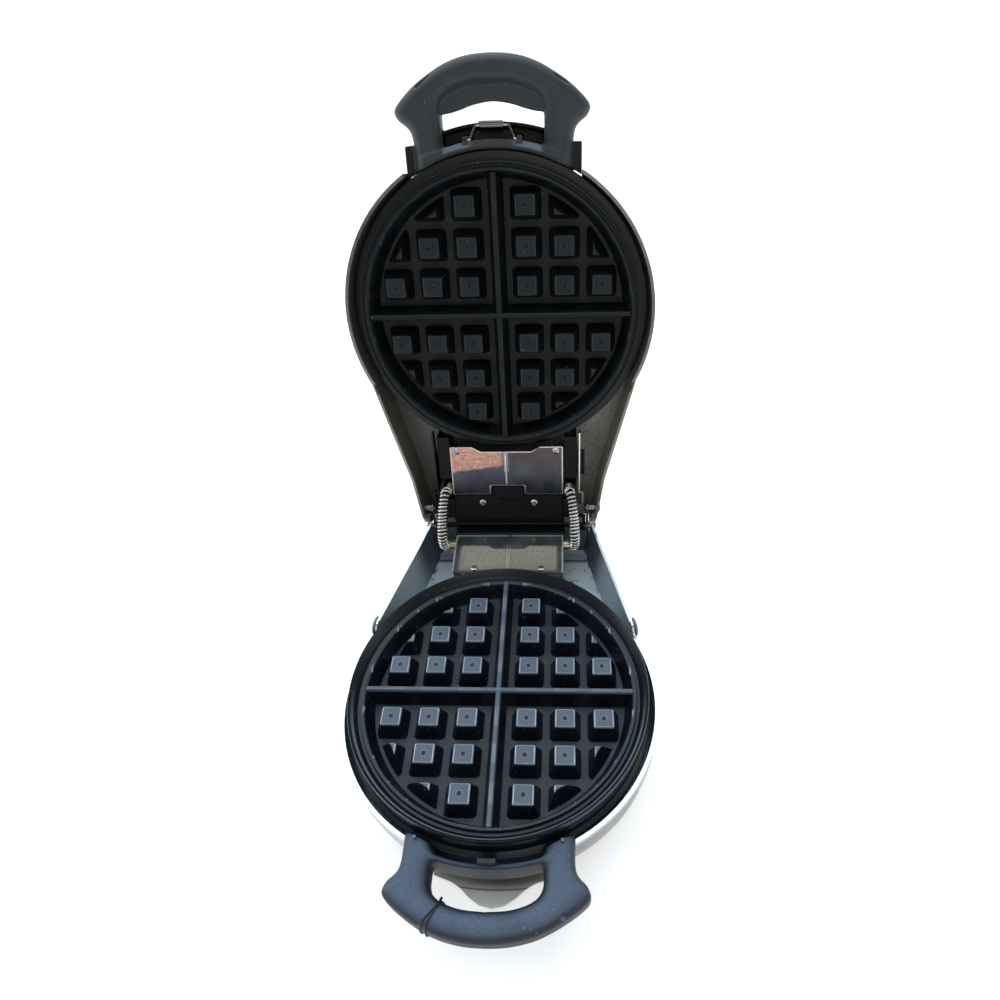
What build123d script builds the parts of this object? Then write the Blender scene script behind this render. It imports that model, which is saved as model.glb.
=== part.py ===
from build123d import *
import math
import os

# ---------------------------------------------------------------- driving dimensions (mm)
# Everything is drawn in "plate" coordinates: the middle of a cooking plate is (0, 0) and the
# tops of its pegs are z = 0.  PY and PZ then set the lower plate into the part's own frame.
PY = -60.8            # lower plate centre, behind (+) or in front (-) of the origin
PZ = 58.0             # height of the lower peg tops above the table

PITCH = 25.8          # peg pitch
GAP = 1.548 * PITCH   # distance between the two middle rows of pegs, over the dividing bar
PEG_TOP = 12.6        # peg, square at its top
PEG_BASE = 21.4       # peg, square at its foot
PEG_H = 13.0          # peg height
LIP_Z = 1.5           # lip and dividing bars above the peg tops
LIP_R = 92.7          # inside radius of the lip
FLOOR_R = 87.0        # radius of the flat floor of the waffle mould
CLOSED_GAP = 3.5      # peg top to peg top with the lid shut

SHEET = 0.8           # stainless sheet
UP_R = 108.5          # upper shell, radius at its rim
UP_RIM = 2.0          # upper shell, height of its rim
LO_R = 110.0          # lower shell, radius at its rim
LO_RIM = -10.0        # lower shell, height of its rim
EAR_UP = [(97.5, 49.0), (95.6, 57.0), (76.6, 129.5), (71.4, 163.0)]
EAR_LO = [(97.0, 50.0), (95.2, 57.5), (74.8, 131.0), (69.2, 154.0)]
EAR_UP_END = 172.0
EAR_LO_END = 161.0
EAR_UP_DEPTH = 30.0
EAR_LO_DEPTH = 41.5

PIVOT_Y = 160.0       # lid pivot (upper link rivet), from the plate centre
PIVOT_Z = 13.7
LINK_Y = 158.0        # lower link rivet
LINK_Z = -5.5
OPEN_DEG = 107.6      # lid opening, from shut
LINK_X = 62.6         # inner face of a link
LINK_T = 2.0

COND_D = 8.0          # spring-armoured conduit, outside diameter
FOOT_Z = -PZ

# ---------------------------------------------------------------- frames
TILT = 180.0 - OPEN_DEG
_a = math.radians(-OPEN_DEG)
_ry, _rz = -PIVOT_Y, CLOSED_GAP - PIVOT_Z
LID_Y = PIVOT_Y + _ry * math.cos(_a) - _rz * math.sin(_a)
LID_Z = PIVOT_Z + _ry * math.sin(_a) + _rz * math.cos(_a)
LOWER = Location((0, PY, PZ))
LID = Location((0, PY + LID_Y, PZ + LID_Z), (TILT, 0, 0))
PV = -PIVOT_Y                        # lid pivot in lid coordinates
PW = CLOSED_GAP - PIVOT_Z

NODES = {}


def put(name, shape, where):
    s = where * shape
    sol = s.solids()
    NODES[name] = sol[0] if len(sol) == 1 else Compound(children=list(sol))
    print(name, len(sol), "solid(s)", round(sum(x.volume for x in sol), 1), "mm3")


def box(x0, x1, y0, y1, z0, z1):
    return Pos((x0 + x1) / 2, (y0 + y1) / 2, (z0 + z1) / 2) * Box(x1 - x0, y1 - y0, z1 - z0)


def lathe(pts):
    """Solid of revolution about Z of a closed (radius, z) polygon."""
    w = Polyline(*[(p[0], 0, p[1]) for p in pts], close=True)
    return revolve(make_face(w), Axis.Z, 360)


def prism(pts, z0, z1, r=0):
    w = Polyline(*[(p[0], p[1], z0) for p in pts], close=True)
    f = make_face(w)
    s = extrude(f, amount=z1 - z0, dir=(0, 0, 1))
    if r:
        s = fillet(s.edges().filter_by(Axis.Z), r)
    return s


def cyl(x, y, z0, z1, r):
    return Pos(x, y, (z0 + z1) / 2) * Cylinder(r, z1 - z0)


def xcyl(x0, x1, y, z, r):
    return Pos((x0 + x1) / 2, y, z) * Rot(0, 90, 0) * Cylinder(r, x1 - x0)


def mirror_x(s):
    return mirror(s, about=Plane.YZ)


def both(s):
    return Compound(children=[s, mirror_x(s)])


def pan_head(x, y, z, r=2.9, h=1.9, shank=6.0, d=3.0, slot=True):
    """Cross-recess pan-head screw standing on the plane z, its shank below."""
    head = lathe([(0, 0), (r, 0), (r, h * 0.45), (r * 0.8, h * 0.85), (r * 0.45, h), (0, h)])
    s = head + cyl(0, 0, -shank, 0.01, d / 2)
    if slot:
        for a in (0, 90):
            s = s - Rot(0, 0, a + 20) * box(-r * 0.55, r * 0.55, -0.4, 0.4, h - 0.9, h + 1)
    return Pos(x, y, z) * s


# ---------------------------------------------------------------- cooking plates
def peg(clip=None):
    a = RectangleRounded(PEG_BASE, PEG_BASE, 3.0)
    b = RectangleRounded(PEG_TOP, PEG_TOP, 0.9)
    return loft([Pos(0, 0, -PEG_H - 0.4) * a, b], ruled=True)


def plate(profile):
    body = lathe(profile)
    one = peg()
    dimple = Pos(0, 0, 1.5) * Sphere(2.4)
    rim_top = Pos(0, 0, -PEG_H - 1) * Cone(85.2, 78.8, PEG_H + 2.2, align=(Align.CENTER, Align.CENTER, Align.MIN))
    rim_low = Pos(0, 0, -PEG_H - 1) * Cone(86.2, 83.4, PEG_H + 2.2, align=(Align.CENTER, Align.CENTER, Align.MIN))
    add, cut = [], []
    for sx in (-1, 1):
        for sy in (-1, 1):
            for i, j in ((0, 0), (1, 0), (0, 1), (1, 1), (2, 0), (0, 2), (2, 1), (1, 2)):
                x, y = sx * (GAP / 2 + i * PITCH), sy * (GAP / 2 + j * PITCH)
                p = Pos(x, y, 0) * one
                if i + j == 3:
                    p = p & rim_top
                elif i + j == 2 and i != j:
                    p = p & rim_low
                add.append(p)
                if i + j < 3:
                    cut.append(Pos(x, y, 0) * dimple)
    for a in (0, 90):
        prof = make_face(Polyline((0, -5.4, -PEG_H - 0.4), (0, 5.4, -PEG_H - 0.4), (0, 1.5, LIP_Z - 0.5),
                                  (0, 1.0, LIP_Z), (0, -1.0, LIP_Z), (0, -1.5, LIP_Z - 0.5), close=True))
        bar = extrude(prof, amount=91.5, both=True, dir=(1, 0, 0))
        add.append(Rot(0, 0, a) * bar)
    body = body + add
    body = body - cut
    return body


LOW_PROFILE = [(0, -PEG_H), (FLOOR_R, -PEG_H), (LIP_R, LIP_Z), (94.2, LIP_Z), (94.9, -1.4), (96.6, -1.4),
               (99.0, 1.6), (101.2, 5.7), (101.9, 6.3), (102.3, 5.6), (102.3, -2.0), (99.8, -2.0), (96.0, -5.0),
               (93.6, -5.0), (90.0, -PEG_H - 3.6), (0, -PEG_H - 3.6)]
UP_PROFILE = [(0, -PEG_H), (FLOOR_R, -PEG_H), (LIP_R, LIP_Z), (94.2, LIP_Z), (94.8, -1.6), (96.4, -1.6),
              (96.9, -0.9), (98.3, -1.1), (98.3, -5.6), (93.6, -5.6), (90.0, -PEG_H - 3.6), (0, -PEG_H - 3.6)]

low_plate = plate(LOW_PROFILE)
up_plate = plate(UP_PROFILE)
# four tapped bosses under each plate take the plate screws
BOSS = [(60.0, 60.0), (-60.0, 60.0), (60.0, -60.0), (-60.0, -60.0)]
under = -PEG_H - 3.6
for bx, by in BOSS:
    b = cyl(bx, by, under - 6.0, under + 0.5, 5.0) - cyl(bx, by, under - 7, under - 0.5, 1.75)
    low_plate = low_plate + b
    up_plate = up_plate + b
put("lower_plate", low_plate, LOWER)
put("upper_plate", up_plate, LID)


# ---------------------------------------------------------------- shells
def ear_outline(pts, end, t=0.0, sgn=1.0, k=0.0):
    """Plan outline of the part of a shell that tapers back to the hinge, offset inwards by t."""
    e = [(x - t - k, y) for x, y in pts]
    right = e + [(e[-1][0] - 1.7, end - t)]
    left = [(-x, y) for x, y in reversed(right)]
    return [(x, sgn * y) for x, y in [(80.0 - t, 30.0)] + right + left + [(-80.0 + t, 30.0)]]


def ear_body(pts, end, z_top, z_bot, t, sgn, draft):
    top = make_face(Polyline(*[(x, y, z_top) for x, y in ear_outline(pts, end, t, sgn)], close=True))
    bot = make_face(Polyline(*[(x, y, z_bot) for x, y in ear_outline(pts, end, t, sgn, draft)], close=True))
    return loft([bot, top], ruled=True)


# upper shell: opening towards +z, outside (the lid's top when shut) towards -z
def upper_form(t, up=0.0):
    prof = [(0, -45.5 + t), (40, -45.2 + t), (70, -44.0 + t), (88, -41.4 + t), (97.0 - t * 0.5, -37.0 + t * 0.8),
            (103.0 - t * 0.9, -30.5 + t * 0.4), (106.3 - t, -21.0), (107.9 - t, -9.0), (UP_R - t, UP_RIM + up), (0, UP_RIM + up)]
    r = lathe(prof)
    e = ear_body(EAR_UP, EAR_UP_END, 0.0 + up, -EAR_UP_DEPTH + t, t, -1.0, 2.2)
    return r, e


r0, e0 = upper_form(0.0)
r1, e1 = upper_form(SHEET, 4.0)
r1u = r1
# the end of each ear is rounded about the pivot, seen from the side
def side_profile(pts, x=120.0):
    f = make_face(Polyline(*[(-x, a, b) for a, b in pts], close=True))
    return extrude(f, amount=2 * x, dir=(1, 0, 0))


def arc_pts(cy, cz, r, a0, a1, n=10):
    return [(cy + r * math.cos(math.radians(a0 + (a1 - a0) * i / n)),
             cz + r * math.sin(math.radians(a0 + (a1 - a0) * i / n))) for i in range(n + 1)]


ear_side = side_profile([(-25.0, 3.0), (-25.0, -34.0), (-166.0, -34.0)] +
                        arc_pts(-166.0, -24.0, 6.0, 270, 180, 6) + arc_pts(-162.0, -10.0, 10.0, 180, 90, 8) + [(-60.0, 0.0), (-52.0, 2.2)])
e0 = e0 & ear_side
# the cavity stops short of the rolled end and opens upwards in front of it
ear_side_in = side_profile([(-25.0, 6.0), (-25.0, -36.0), (-166.0, -36.0)] +
                           arc_pts(-166.0, -24.0, 5.2, 270, 180, 6) + arc_pts(-162.0, -10.0, 9.2, 180, 100, 8) + [(-162.4, 6.0)])
up_out = r0 + e0
up_in = r1 + (e1 & ear_side_in)
upper_shell = up_out - up_in
# narrow rolled hem all round the opening, drawn as a flat inward edge
hem_r = lathe([(UP_R - 2.1, UP_RIM - 1.1), (UP_R - 0.4, UP_RIM - 1.1), (UP_R - 0.4, UP_RIM), (UP_R - 2.1, UP_RIM)])
hem_r = hem_r - side_profile([(-49.0, 10), (-49.0, -10), (-160, -10), (-160, 10)])
upper_shell = upper_shell + hem_r
hem_pts = [(x - 0.3, y) for x, y in EAR_UP]
for s in (1, -1):
    hem = prism([(s * x, -y) for x, y in hem_pts[1:]] + [(s * (x - 1.7), -y) for x, y in reversed(hem_pts[1:])], -1.2, 0.0)
    upper_shell = upper_shell + (hem & ear_side)
# opening for the handle root, and the open end between the ears
upper_shell = upper_shell - box(-57.6, 57.6, 60.0, 125.0, -30.5, 8.0)
upper_shell = upper_shell - box(-45.0, 45.0, -180.0, -160.0, -28.8, 8.0)
for sx in (-1, 1):                     # slots that the links pass through
    a, b = sorted((sx * (LINK_X - 3.2), sx * (LINK_X + LINK_T + 0.6)))
    upper_shell = upper_shell - box(a, b, -180.0, -154.0, -21.5, 8.0)
upper_shell = upper_shell - [xcyl(50, 90, PV, PW, 2.6), xcyl(-90, -50, PV, PW, 2.6)]
lamp_at = (0.0, -78.0)
LAMP = Pos(lamp_at[0], lamp_at[1], -42.85) * Rot(-8.2, 0, 0)
upper_shell = upper_shell - LAMP * Cylinder(5.15, 12)
put("upper_shell", upper_shell, LID)


def lower_form(t, up=0.0):
    prof = [(0, -43.0 + t), (102.0 - t * 0.4, -43.0 + t), (106.6 - t * 0.7, -41.4 + t * 0.7), (109.0 - t, -37.0),
            (109.8 - t, -28.0), (LO_R - t, LO_RIM + up), (0, LO_RIM + up)]
    r = lathe(prof)
    e = ear_body(EAR_LO, EAR_LO_END, -0.6 + up, -EAR_LO_DEPTH + t, t, 1.0, 5.0)
    return r, e


r0, e0 = lower_form(0.0)
r1, e1 = lower_form(SHEET, 4.0)
low_side = side_profile([(25.0, -60.0), (25.0, -10.0), (50.0, -10.0)] + arc_pts(58.0, -9.0, 8.4, 178, 92, 8) +
                        [(140.0, -0.8), (153.0, -1.6)] + arc_pts(153.0, -9.6, 8.0, 90, 0, 6) + [(161.0, -60.0)])
e0 = e0 & low_side
lower_shell = (r0 + e0) - (r1 + e1)
hem_r = lathe([(LO_R - 2.4, LO_RIM - 1.2), (LO_R - 0.4, LO_RIM - 1.2), (LO_R - 0.4, LO_RIM), (LO_R - 2.4, LO_RIM)])
hem_r = hem_r - side_profile([(50.0, 10), (50.0, -30), (200, -30), (200, 10)])
lower_shell = lower_shell + hem_r
hem_pts = [(x - 0.3, y) for x, y in EAR_LO]
for s in (1, -1):
    hem = prism([(s * x, y) for x, y in hem_pts[1:]] + [(s * (x - 1.7), y) for x, y in reversed(hem_pts[1:])], -3.4, -0.6)
    lower_shell = lower_shell + (hem & low_side)
lower_shell = lower_shell - box(-52.2, 52.2, -125.0, -60.0, -26.0, 0.0)
lower_shell = lower_shell - box(-66.0, 66.0, 156.0, 170.0, -2.8, 5.0)
lower_shell = lower_shell - [box(59.8, 66.0, 156.0, 170.0, -13.0, 5.0), box(-66.0, -59.8, 156.0, 170.0, -13.0, 5.0)]
lower_shell = lower_shell - [xcyl(50, 90, LINK_Y, LINK_Z, 2.6), xcyl(-90, -50, LINK_Y, LINK_Z, 2.6)]
lower_shell = lower_shell + box(-64.0, 64.0, 147.4, 155.0, -41.2, -38.6)
GLAND_X, GLAND_Z = 0.0, -27.0
lower_shell = lower_shell - Pos(GLAND_X, 160, GLAND_Z) * Rot(90, 0, 0) * Cylinder(6.1, 20)
put("lower_shell", lower_shell, LOWER)



# ---------------------------------------------------------------- trim rings
SKIRT_BOT = -42.2
ring = lathe([(99.9, -2.0), (102.2, -2.0), (102.2, -11.6), (105.3, -12.6), (105.3, -14.6), (101.5, -14.6),
              (101.5, SKIRT_BOT), (99.5, SKIRT_BOT), (99.5, -29.0), (95.0, -29.0), (95.0, -27.0), (99.5, -27.0),
              (99.5, -4.2), (99.9, -3.6)])
posts = []
for a in (45, 135, 225, 315):
    c, s = math.cos(math.radians(a)), math.sin(math.radians(a))
    posts.append((94.2 * c, 94.2 * s))
    ring = ring + cyl(94.8 * c, 94.8 * s, SKIRT_BOT, -31.0, 4.8)
ring = ring - box(-30, 30, 80, 104, -41.0, -17.0)
shell_screws = []
for x, y in posts:
    sc = lathe([(0, -45.2), (3.2, -45.2), (3.2, -43.0), (1.5, -43.0), (1.5, -34.0), (0, -34.0)])
    shell_screws.append(Pos(x, y, 0) * sc)
ring = ring - shell_screws

ring_up = lathe([(95.4, -7.8), (103.4, -8.0), (103.9, -8.5), (103.6, -10.0), (98.6, -10.0), (98.6, -31.0), (96.6, -31.0),
                 (96.6, -29.0), (92.5, -29.0), (92.5, -27.0), (96.6, -27.0), (96.6, -10.0), (95.4, -9.6)])
posts_up = []
studs = []
for a in (45, 135, 225, 315):
    c, s = math.cos(math.radians(a)), math.sin(math.radians(a))
    posts_up.append((93.6 * c, 93.6 * s))
    ring_up = ring_up + (cyl(93.6 * c, 93.6 * s, -44.0, -30.4, 4.4) & r1u)
    studs.append(cyl(93.6 * c, 93.6 * s, -44.0, -31.5, 1.6) & r1u)
ring_up = ring_up - studs
ring_up = ring_up - box(-30, 30, -101, -80, -40.0, -17.0)

# ---------------------------------------------------------------- handle fixing screws
def side_screw(ang, r_head, r_in, z, up):
    """Screw along a radius: head inside the skirt, shank outwards into the handle root."""
    sc = lathe([(0, -2.0), (2.8, -2.0), (2.8, 0.0), (1.4, 0.0), (1.4, r_in), (0, r_in)])
    return Rot(0, 0, ang) * Pos(r_head, 0, z) * Rot(0, 90, 0) * sc


low_hs = [side_screw(-90 + d, 99.5, 6.3, -33.2, 1) for d in (-23.8, 23.8)]
up_hs = [side_screw(90 + d, 96.6, 6.6, -20.0, 1) for d in (-23.8, 23.8)]
ring = ring - low_hs
ring_up = ring_up - up_hs
put("lower_trim_ring", ring, LOWER)
put("upper_trim_ring", ring_up, LID)
put("lower_handle_screws", Compound(children=low_hs), LOWER)
put("upper_handle_screws", Compound(children=up_hs), LID)
put("lower_shell_screws", Compound(children=shell_screws), LOWER)
put("upper_shell_studs", Compound(children=studs), LID)


# ---------------------------------------------------------------- handles
def grip(outer, tip, leg, inner, r_tip, r_in, z0, z1, soft):
    """Loop handle: outer and inner edges are splines of (x, y), mirrored about x = 0."""
    def mir(p):
        return (-p[0], p[1])
    o = Spline(*[(p[0], p[1], z0) for p in [mir(q) for q in reversed(outer)] + outer[1:]])
    i = Spline(*[(p[0], p[1], z0) for p in [mir(q) for q in reversed(inner)] + inner[1:]])
    right = [outer[-1]] + tip + leg + [inner[-1]]
    edges = [o, i]
    for a, b in zip(right[:-1], right[1:]):
        edges.append(Line((a[0], a[1], z0), (b[0], b[1], z0)))
        edges.append(Line((-a[0], a[1], z0), (-b[0], b[1], z0)))
    f = make_face(edges)
    vs = f.vertices()
    for tips, r in (([outer[-1]] + tip, r_tip), ([inner[-1]], r_in)):
        for t in tips:
            for sx in (1, -1):
                for rr in (r, r * 0.7, r * 0.45, r * 0.25):
                    try:
                        v = [q for q in f.vertices() if abs(q.X - sx * t[0]) < 1e-3 and abs(q.Y - t[1]) < 1e-3]
                        f = fillet(v, rr)
                        break
                    except Exception:
                        pass
    s = extrude(f, amount=z1 - z0, dir=(0, 0, 1))
    for rr in soft:
        try:
            e = s.edges().filter_by(lambda q: abs(q.center().Z - z0) < 0.01 or abs(q.center().Z - z1) < 0.01)
            s2 = fillet(e, rr)
            if s2.is_valid:
                print("  grip edge radius", rr)
                return s2
        except Exception:
            pass
    return s


H0, H1 = -25.6, -2.6
lo_outer = [(0, -151.8), (20, -149.8), (30, -147.0), (40, -142.4), (50, -136.5), (57.5, -130.6)]
lo_tip = [(60.8, -126.0), (58.5, -119.6), (52.0, -113.5)]
lo_leg = [(52.0, -93.6), (33.5, -101.2)]
lo_inner = [(0, -135.2), (12, -134.4), (20, -132.6), (27, -130.0), (33.5, -126.0)]
lo_handle = grip(lo_outer, lo_tip, lo_leg, lo_inner, 3.0, 5.0, H0, H1, (6.0, 5.0, 4.0, 3.0, 2.0))
sector = prism([(0, 0), (-46, -140), (46, -140)], -60, 20)
cross = lathe([(111.0, H0), (113.6, H0), (113.6, -5.6), (113.0, -5.0), (111.6, -5.0), (111.0, -5.6)]) & sector
lo_handle = lo_handle + cross
blocks = lathe([(101.9, -38.0), (107.6, -35.5), (108.7, -26.4), (108.7, -18.0), (106.0, -16.0), (101.9, -16.0)])
blocks = blocks & (prism([(33.5, -60), (51.8, -60), (51.8, -140), (33.5, -140)], -60, 20) +
                   prism([(-33.5, -60), (-51.8, -60), (-51.8, -140), (-33.5, -140)], -60, 20))
lo_handle = lo_handle + blocks
lo_handle = lo_handle - low_hs
# steel strike for the latch, standing in the middle of the crossbar
strike = lathe([(109.6, -20.0), (111.0, -20.0), (111.0, -1.0), (112.4, -1.0), (112.4, -0.2), (112.0, 0.2), (109.6, 0.2)])
strike = strike & prism([(0, 0), (-6.8, -140), (6.8, -140)], -60, 20)
lo_handle = lo_handle - strike
put("lower_handle", lo_handle, LOWER)
put("latch_strike", strike, LOWER)
pins = [cyl(sx * 44.5, -97.7, -2.8, -0.6, 1.1) + cyl(sx * 44.5, -97.7, -8.0, -2.7, 0.8) for sx in (-1, 1)]
NODES["lower_handle"] = NODES["lower_handle"] - (LOWER * Compound(children=[cyl(sx * 44.5, -97.7, -8.0, -1.0, 0.8) for sx in (-1, 1)]))
put("locating_pins", Compound(children=pins), LOWER)

U0, U1 = -30.2, -7.0
up_outer = [(0, 157.0), (20, 154.8), (30, 151.4), (40, 146.2), (50, 139.8), (58.5, 132.2)]
up_tip = [(62.8, 126.6), (60.2, 120.4), (51.8, 114.5)]
up_leg = [(51.8, 93.6), (33.2, 101.4)]
up_inner = [(0, 140.5), (12, 139.8), (20, 138.0), (27, 135.4), (33.2, 131.0)]
up_handle = grip(up_outer, up_tip, up_leg, up_inner, 3.0, 5.0, U0, U1, (6.0, 5.0, 4.0, 3.0, 2.0))
# thin web along the inside of the grip
web = prism([(35.5, 124.2), (28, 124.8), (20, 126.8), (12, 129.2), (0, 130.8), (-12, 129.2), (-20, 126.8), (-28, 124.8),
             (-35.5, 124.2), (-35.5, 134.5), (-27, 138.5), (-12, 142.5), (12, 142.5), (27, 138.5), (35.5, 134.5)], -25.5, -13.0)
up_handle = up_handle + web
# root with the latch pocket
wedge = prism([(0, 0), (-72, 140), (72, 140)], -60, 20)
slab = prism([(-36, 60), (36, 60), (36, 140), (-36, 140)], -60, 20)
root = lathe([(104.6, U0), (119.6, U0), (119.6, -20.6), (117.9, -20.2), (117.9, -27.6), (107.2, -27.6), (107.2, -4.6), (106.6, -4.0),
              (104.6, -4.0)]) & slab
up_handle = up_handle + root
should = lathe([(104.6, U0), (110.2, U0), (111.0, -28.0), (111.0, -9.0), (110.0, -7.6), (104.6, -7.6)]) & \
    (prism([(30, 60), (57.3, 60), (57.3, 140), (30, 140)], -60, 20) + prism([(-30, 60), (-57.3, 60), (-57.3, 140), (-30, 140)], -60, 20))
up_handle = up_handle + should
tall = lathe([(104.6, U0), (124.0, U0), (124.0, -9.0), (104.6, -9.0)])
for sx in (-1, 1):
    up_handle = up_handle + (prism([(sx * 50.0, 84), (sx * 57.3, 84), (sx * 57.3, 104.0), (sx * 54.6, 107.2), (sx * 50.0, 107.2)], -60, 20) & tall)
# sloping block behind the bail
up_handle = up_handle + side_profile([(106.6, -28.4), (115.2, -28.4), (115.2, -18.8), (107.2, -9.6), (106.6, -9.6)], 12.8)
upb = lathe([(98.9, -28.0), (105.0, -28.0), (105.0, -10.4), (98.9, -10.4)]) & \
    (prism([(33.5, 60), (50.5, 60), (50.5, 140), (33.5, 140)], -60, 20) + prism([(-33.5, 60), (-50.5, 60), (-50.5, 140), (-33.5, 140)], -60, 20))
up_handle = up_handle + upb
# lugs that carry the latch wire
LP_V, LP_W = 109.4, -7.0
lugs = [box(sx * 17.2 - 1.5, sx * 17.2 + 1.5, 105.6, 111.6, -28.0, -4.4) for sx in (-1, 1)]
up_handle = up_handle + lugs
up_handle = up_handle - xcyl(-19.5, 19.5, LP_V, LP_W, 0.82)
up_handle = up_handle - up_hs
put("upper_handle", up_handle, LID)

# latch: wire bail with a rolled clip along its far side
LL = 13.4
wire = FilletPolyline((-18.4, 0, 0), (-14.6, 0, 0), (-11.4, LL, 0), (10.0, LL, 0), (14.6, 0, 0), (18.4, 0, 0), radius=2.0)
wire_s = sweep(Plane(origin=(-18.4, 0, 0), z_dir=(1, 0, 0)) * Circle(0.75), path=wire)
clip = xcyl(-8.9, 6.6, LL, 0, 1.75) - xcyl(-10, 9, LL, 0, 0.75)
tail = side_profile([(LL - 1.2, 1.0), (LL + 0.4, 1.2), (LL + 0.4, 3.2), (LL - 1.0, 4.4), (LL - 1.9, 4.0), (LL - 0.8, 2.9), (LL - 0.8, 2.0), (LL - 1.8, 1.6)], 7.75)
clip = clip + Pos(-1.15, 0, 0) * tail
LATCH = Pos(0, LP_V, LP_W) * Rot(-53, 0, 0)
put("latch_wire", LATCH * wire_s, LID)
put("latch_clip", LATCH * clip, LID)


# ---------------------------------------------------------------- heating elements, reflectors, screws
def element(z):
    path = FilletPolyline((14, 92, z), (14, 61, z), (48, 48, z), (64, 18, z), (64, -22, z), (44, -52, z), (14, -65, z), (-14, -65, z),
                          (-44, -52, z), (-64, -22, z), (-64, 18, z), (-48, 48, z), (-14, 61, z), (-14, 92, z), radius=9)
    tube = sweep(Plane(origin=(14, 92, z), z_dir=(0, -1, 0)) * Circle(3.2), path=path)
    ends = [Pos(sx * 14, 94.5, z) * Rot(90, 0, 0) * Cylinder(1.3, 6) for sx in (-1, 1)]
    return tube + ends


ez = under - 3.2
put("lower_heating_element", element(ez), LOWER)
put("upper_heating_element", Rot(0, 0, 180) * element(ez), LID)

for half, where, rr in (("lower", LOWER, 98.4), ("upper", LID, 95.4)):
    refl = lathe([(0, -29.0), (rr, -29.0), (rr, -29.8), (60, -29.8), (58, -31.4), (0, -31.4), (0, -30.6), (57.6, -30.6), (59.6, -29.8), (59.6, -29.8)]) if False else \
        lathe([(0, -30.6), (57.4, -30.6), (59.4, -29.0), (rr, -29.0), (rr, -29.8), (59.9, -29.8), (57.9, -31.4), (0, -31.4)])
    screws, sleeves = [], []
    for bx, by in BOSS:
        sc = lathe([(0, -32.2), (2.2, -32.2), (3.4, -31.4), (3.4, -29.8), (1.7, -29.8), (1.7, -18.0), (0, -18.0)])
        screws.append(Pos(bx, by, 0) * sc)
        sleeves.append(Pos(bx, by, 0) * lathe([(1.9, -29.0), (4.2, -29.0), (4.2, under - 6.0), (1.9, under - 6.0)]))
        refl = refl - cyl(bx, by, -33, -27, 1.8)
    sgn = 1 if half == "lower" else -1
    refl = refl - box(-24, 24, min(sgn * 84, sgn * 100), max(sgn * 84, sgn * 100), -33, -27)
    put(half + "_heat_reflector", refl, where)
    put(half + "_plate_screws", Compound(children=screws), where)
    put(half + "_plate_spacers", Compound(children=sleeves), where)

thermo = cyl(0, 26, under - 7.5, under, 9.0) + cyl(0, 26, under - 10.0, under - 7.4, 6.5)
thermo = thermo + box(-7.5, -4.5, 32.0, 41.0, under - 6.2, under - 5.4) + box(4.5, 7.5, 32.0, 41.0, under - 6.2, under - 5.4)
put("thermostat", thermo, LOWER)
fuse = xcyl(-7, 7, -26, under - 2.2, 2.2) + xcyl(-15, 15, -26, under - 2.2, 0.6)
put("thermal_fuse", fuse, LID)

# ---------------------------------------------------------------- brackets at the hinge side
BX = 44.0
lb = prism([(-BX, 103.2), (BX, 103.2), (BX, 131.0), (-BX, 131.0)], -1.4, 0.0)
lb = lb + side_profile([(131.0, 0.0), (143.2, -1.7), (144.2, -2.6), (144.2, -9.0), (142.8, -9.0), (142.8, -3.2), (131.0, -1.4)], BX)
for sx in (-1, 1):
    x0, x1 = sorted((sx * BX, sx * (BX - 1.4)))
    lb = lb + box(x0, x1, 108.4, 131.0, -40.6, -0.6)
    x0, x1 = sorted((sx * BX, sx * (BX - 10.0)))
    lb = lb + box(x0, x1, 112.0, 128.0, -40.6, -39.2)
for sx in (-1, 1):
    tab = side_profile([(130.5, -1.0), (141.4, -2.5), (141.4, -10.8), (130.5, -14.0)], 0.7)
    lb = lb + Pos(sx * (BX - 0.7), 0, 0) * tab
lb = lb + box(-1.5, 1.5, 104.5, 122.5, -0.1, 0.7) + box(-1.1, 1.1, 132.5, 142.0, -1.8, -0.4)
for sx in (-1, 1):
    lb = lb + (Pos(sx * 20, 139.0, -1.2) * Sphere(1.6))
lbs = [pan_head(sx * 26.6, 106.6, 0.0, 2.7, 1.7, 7.0, 3.0) for sx in (-1, 1)]
lb = lb - lbs
put("lower_bracket", lb, LOWER)
put("lower_bracket_screws", Compound(children=lbs), LOWER)

ub = prism([(-BX, -100.6), (-27.0, -100.6), (-20.0, -104.6), (18.8, -104.6), (26.0, -100.6), (BX, -100.6), (BX, -142.0), (13.8, -142.0),
            (13.0, -134.2), (-13.0, -134.2), (-13.8, -142.0), (-BX, -142.0)], -1.3, 0.0)
for sx in (-1, 1):
    x0, x1 = sorted((sx * BX, sx * (BX - 1.3)))
    ub = ub + box(x0, x1, -141.0, -106.0, -29.2, -0.5)
    x0, x1 = sorted((sx * BX, sx * (BX - 10.0)))
    ub = ub + box(x0, x1, -136.0, -112.0, -29.2, -27.8)
ub = ub + box(-1.6, 0.6, -122.0, -106.0, -0.1, 0.7)
ubs = [pan_head(sx * 38.7, -103.9, 0.0, 2.7, 1.6, 7.0, 3.0) for sx in (-1, 1)]
ub = ub - ubs
put("upper_bracket", ub, LID)
put("upper_bracket_screws", Compound(children=ubs), LID)

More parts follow.
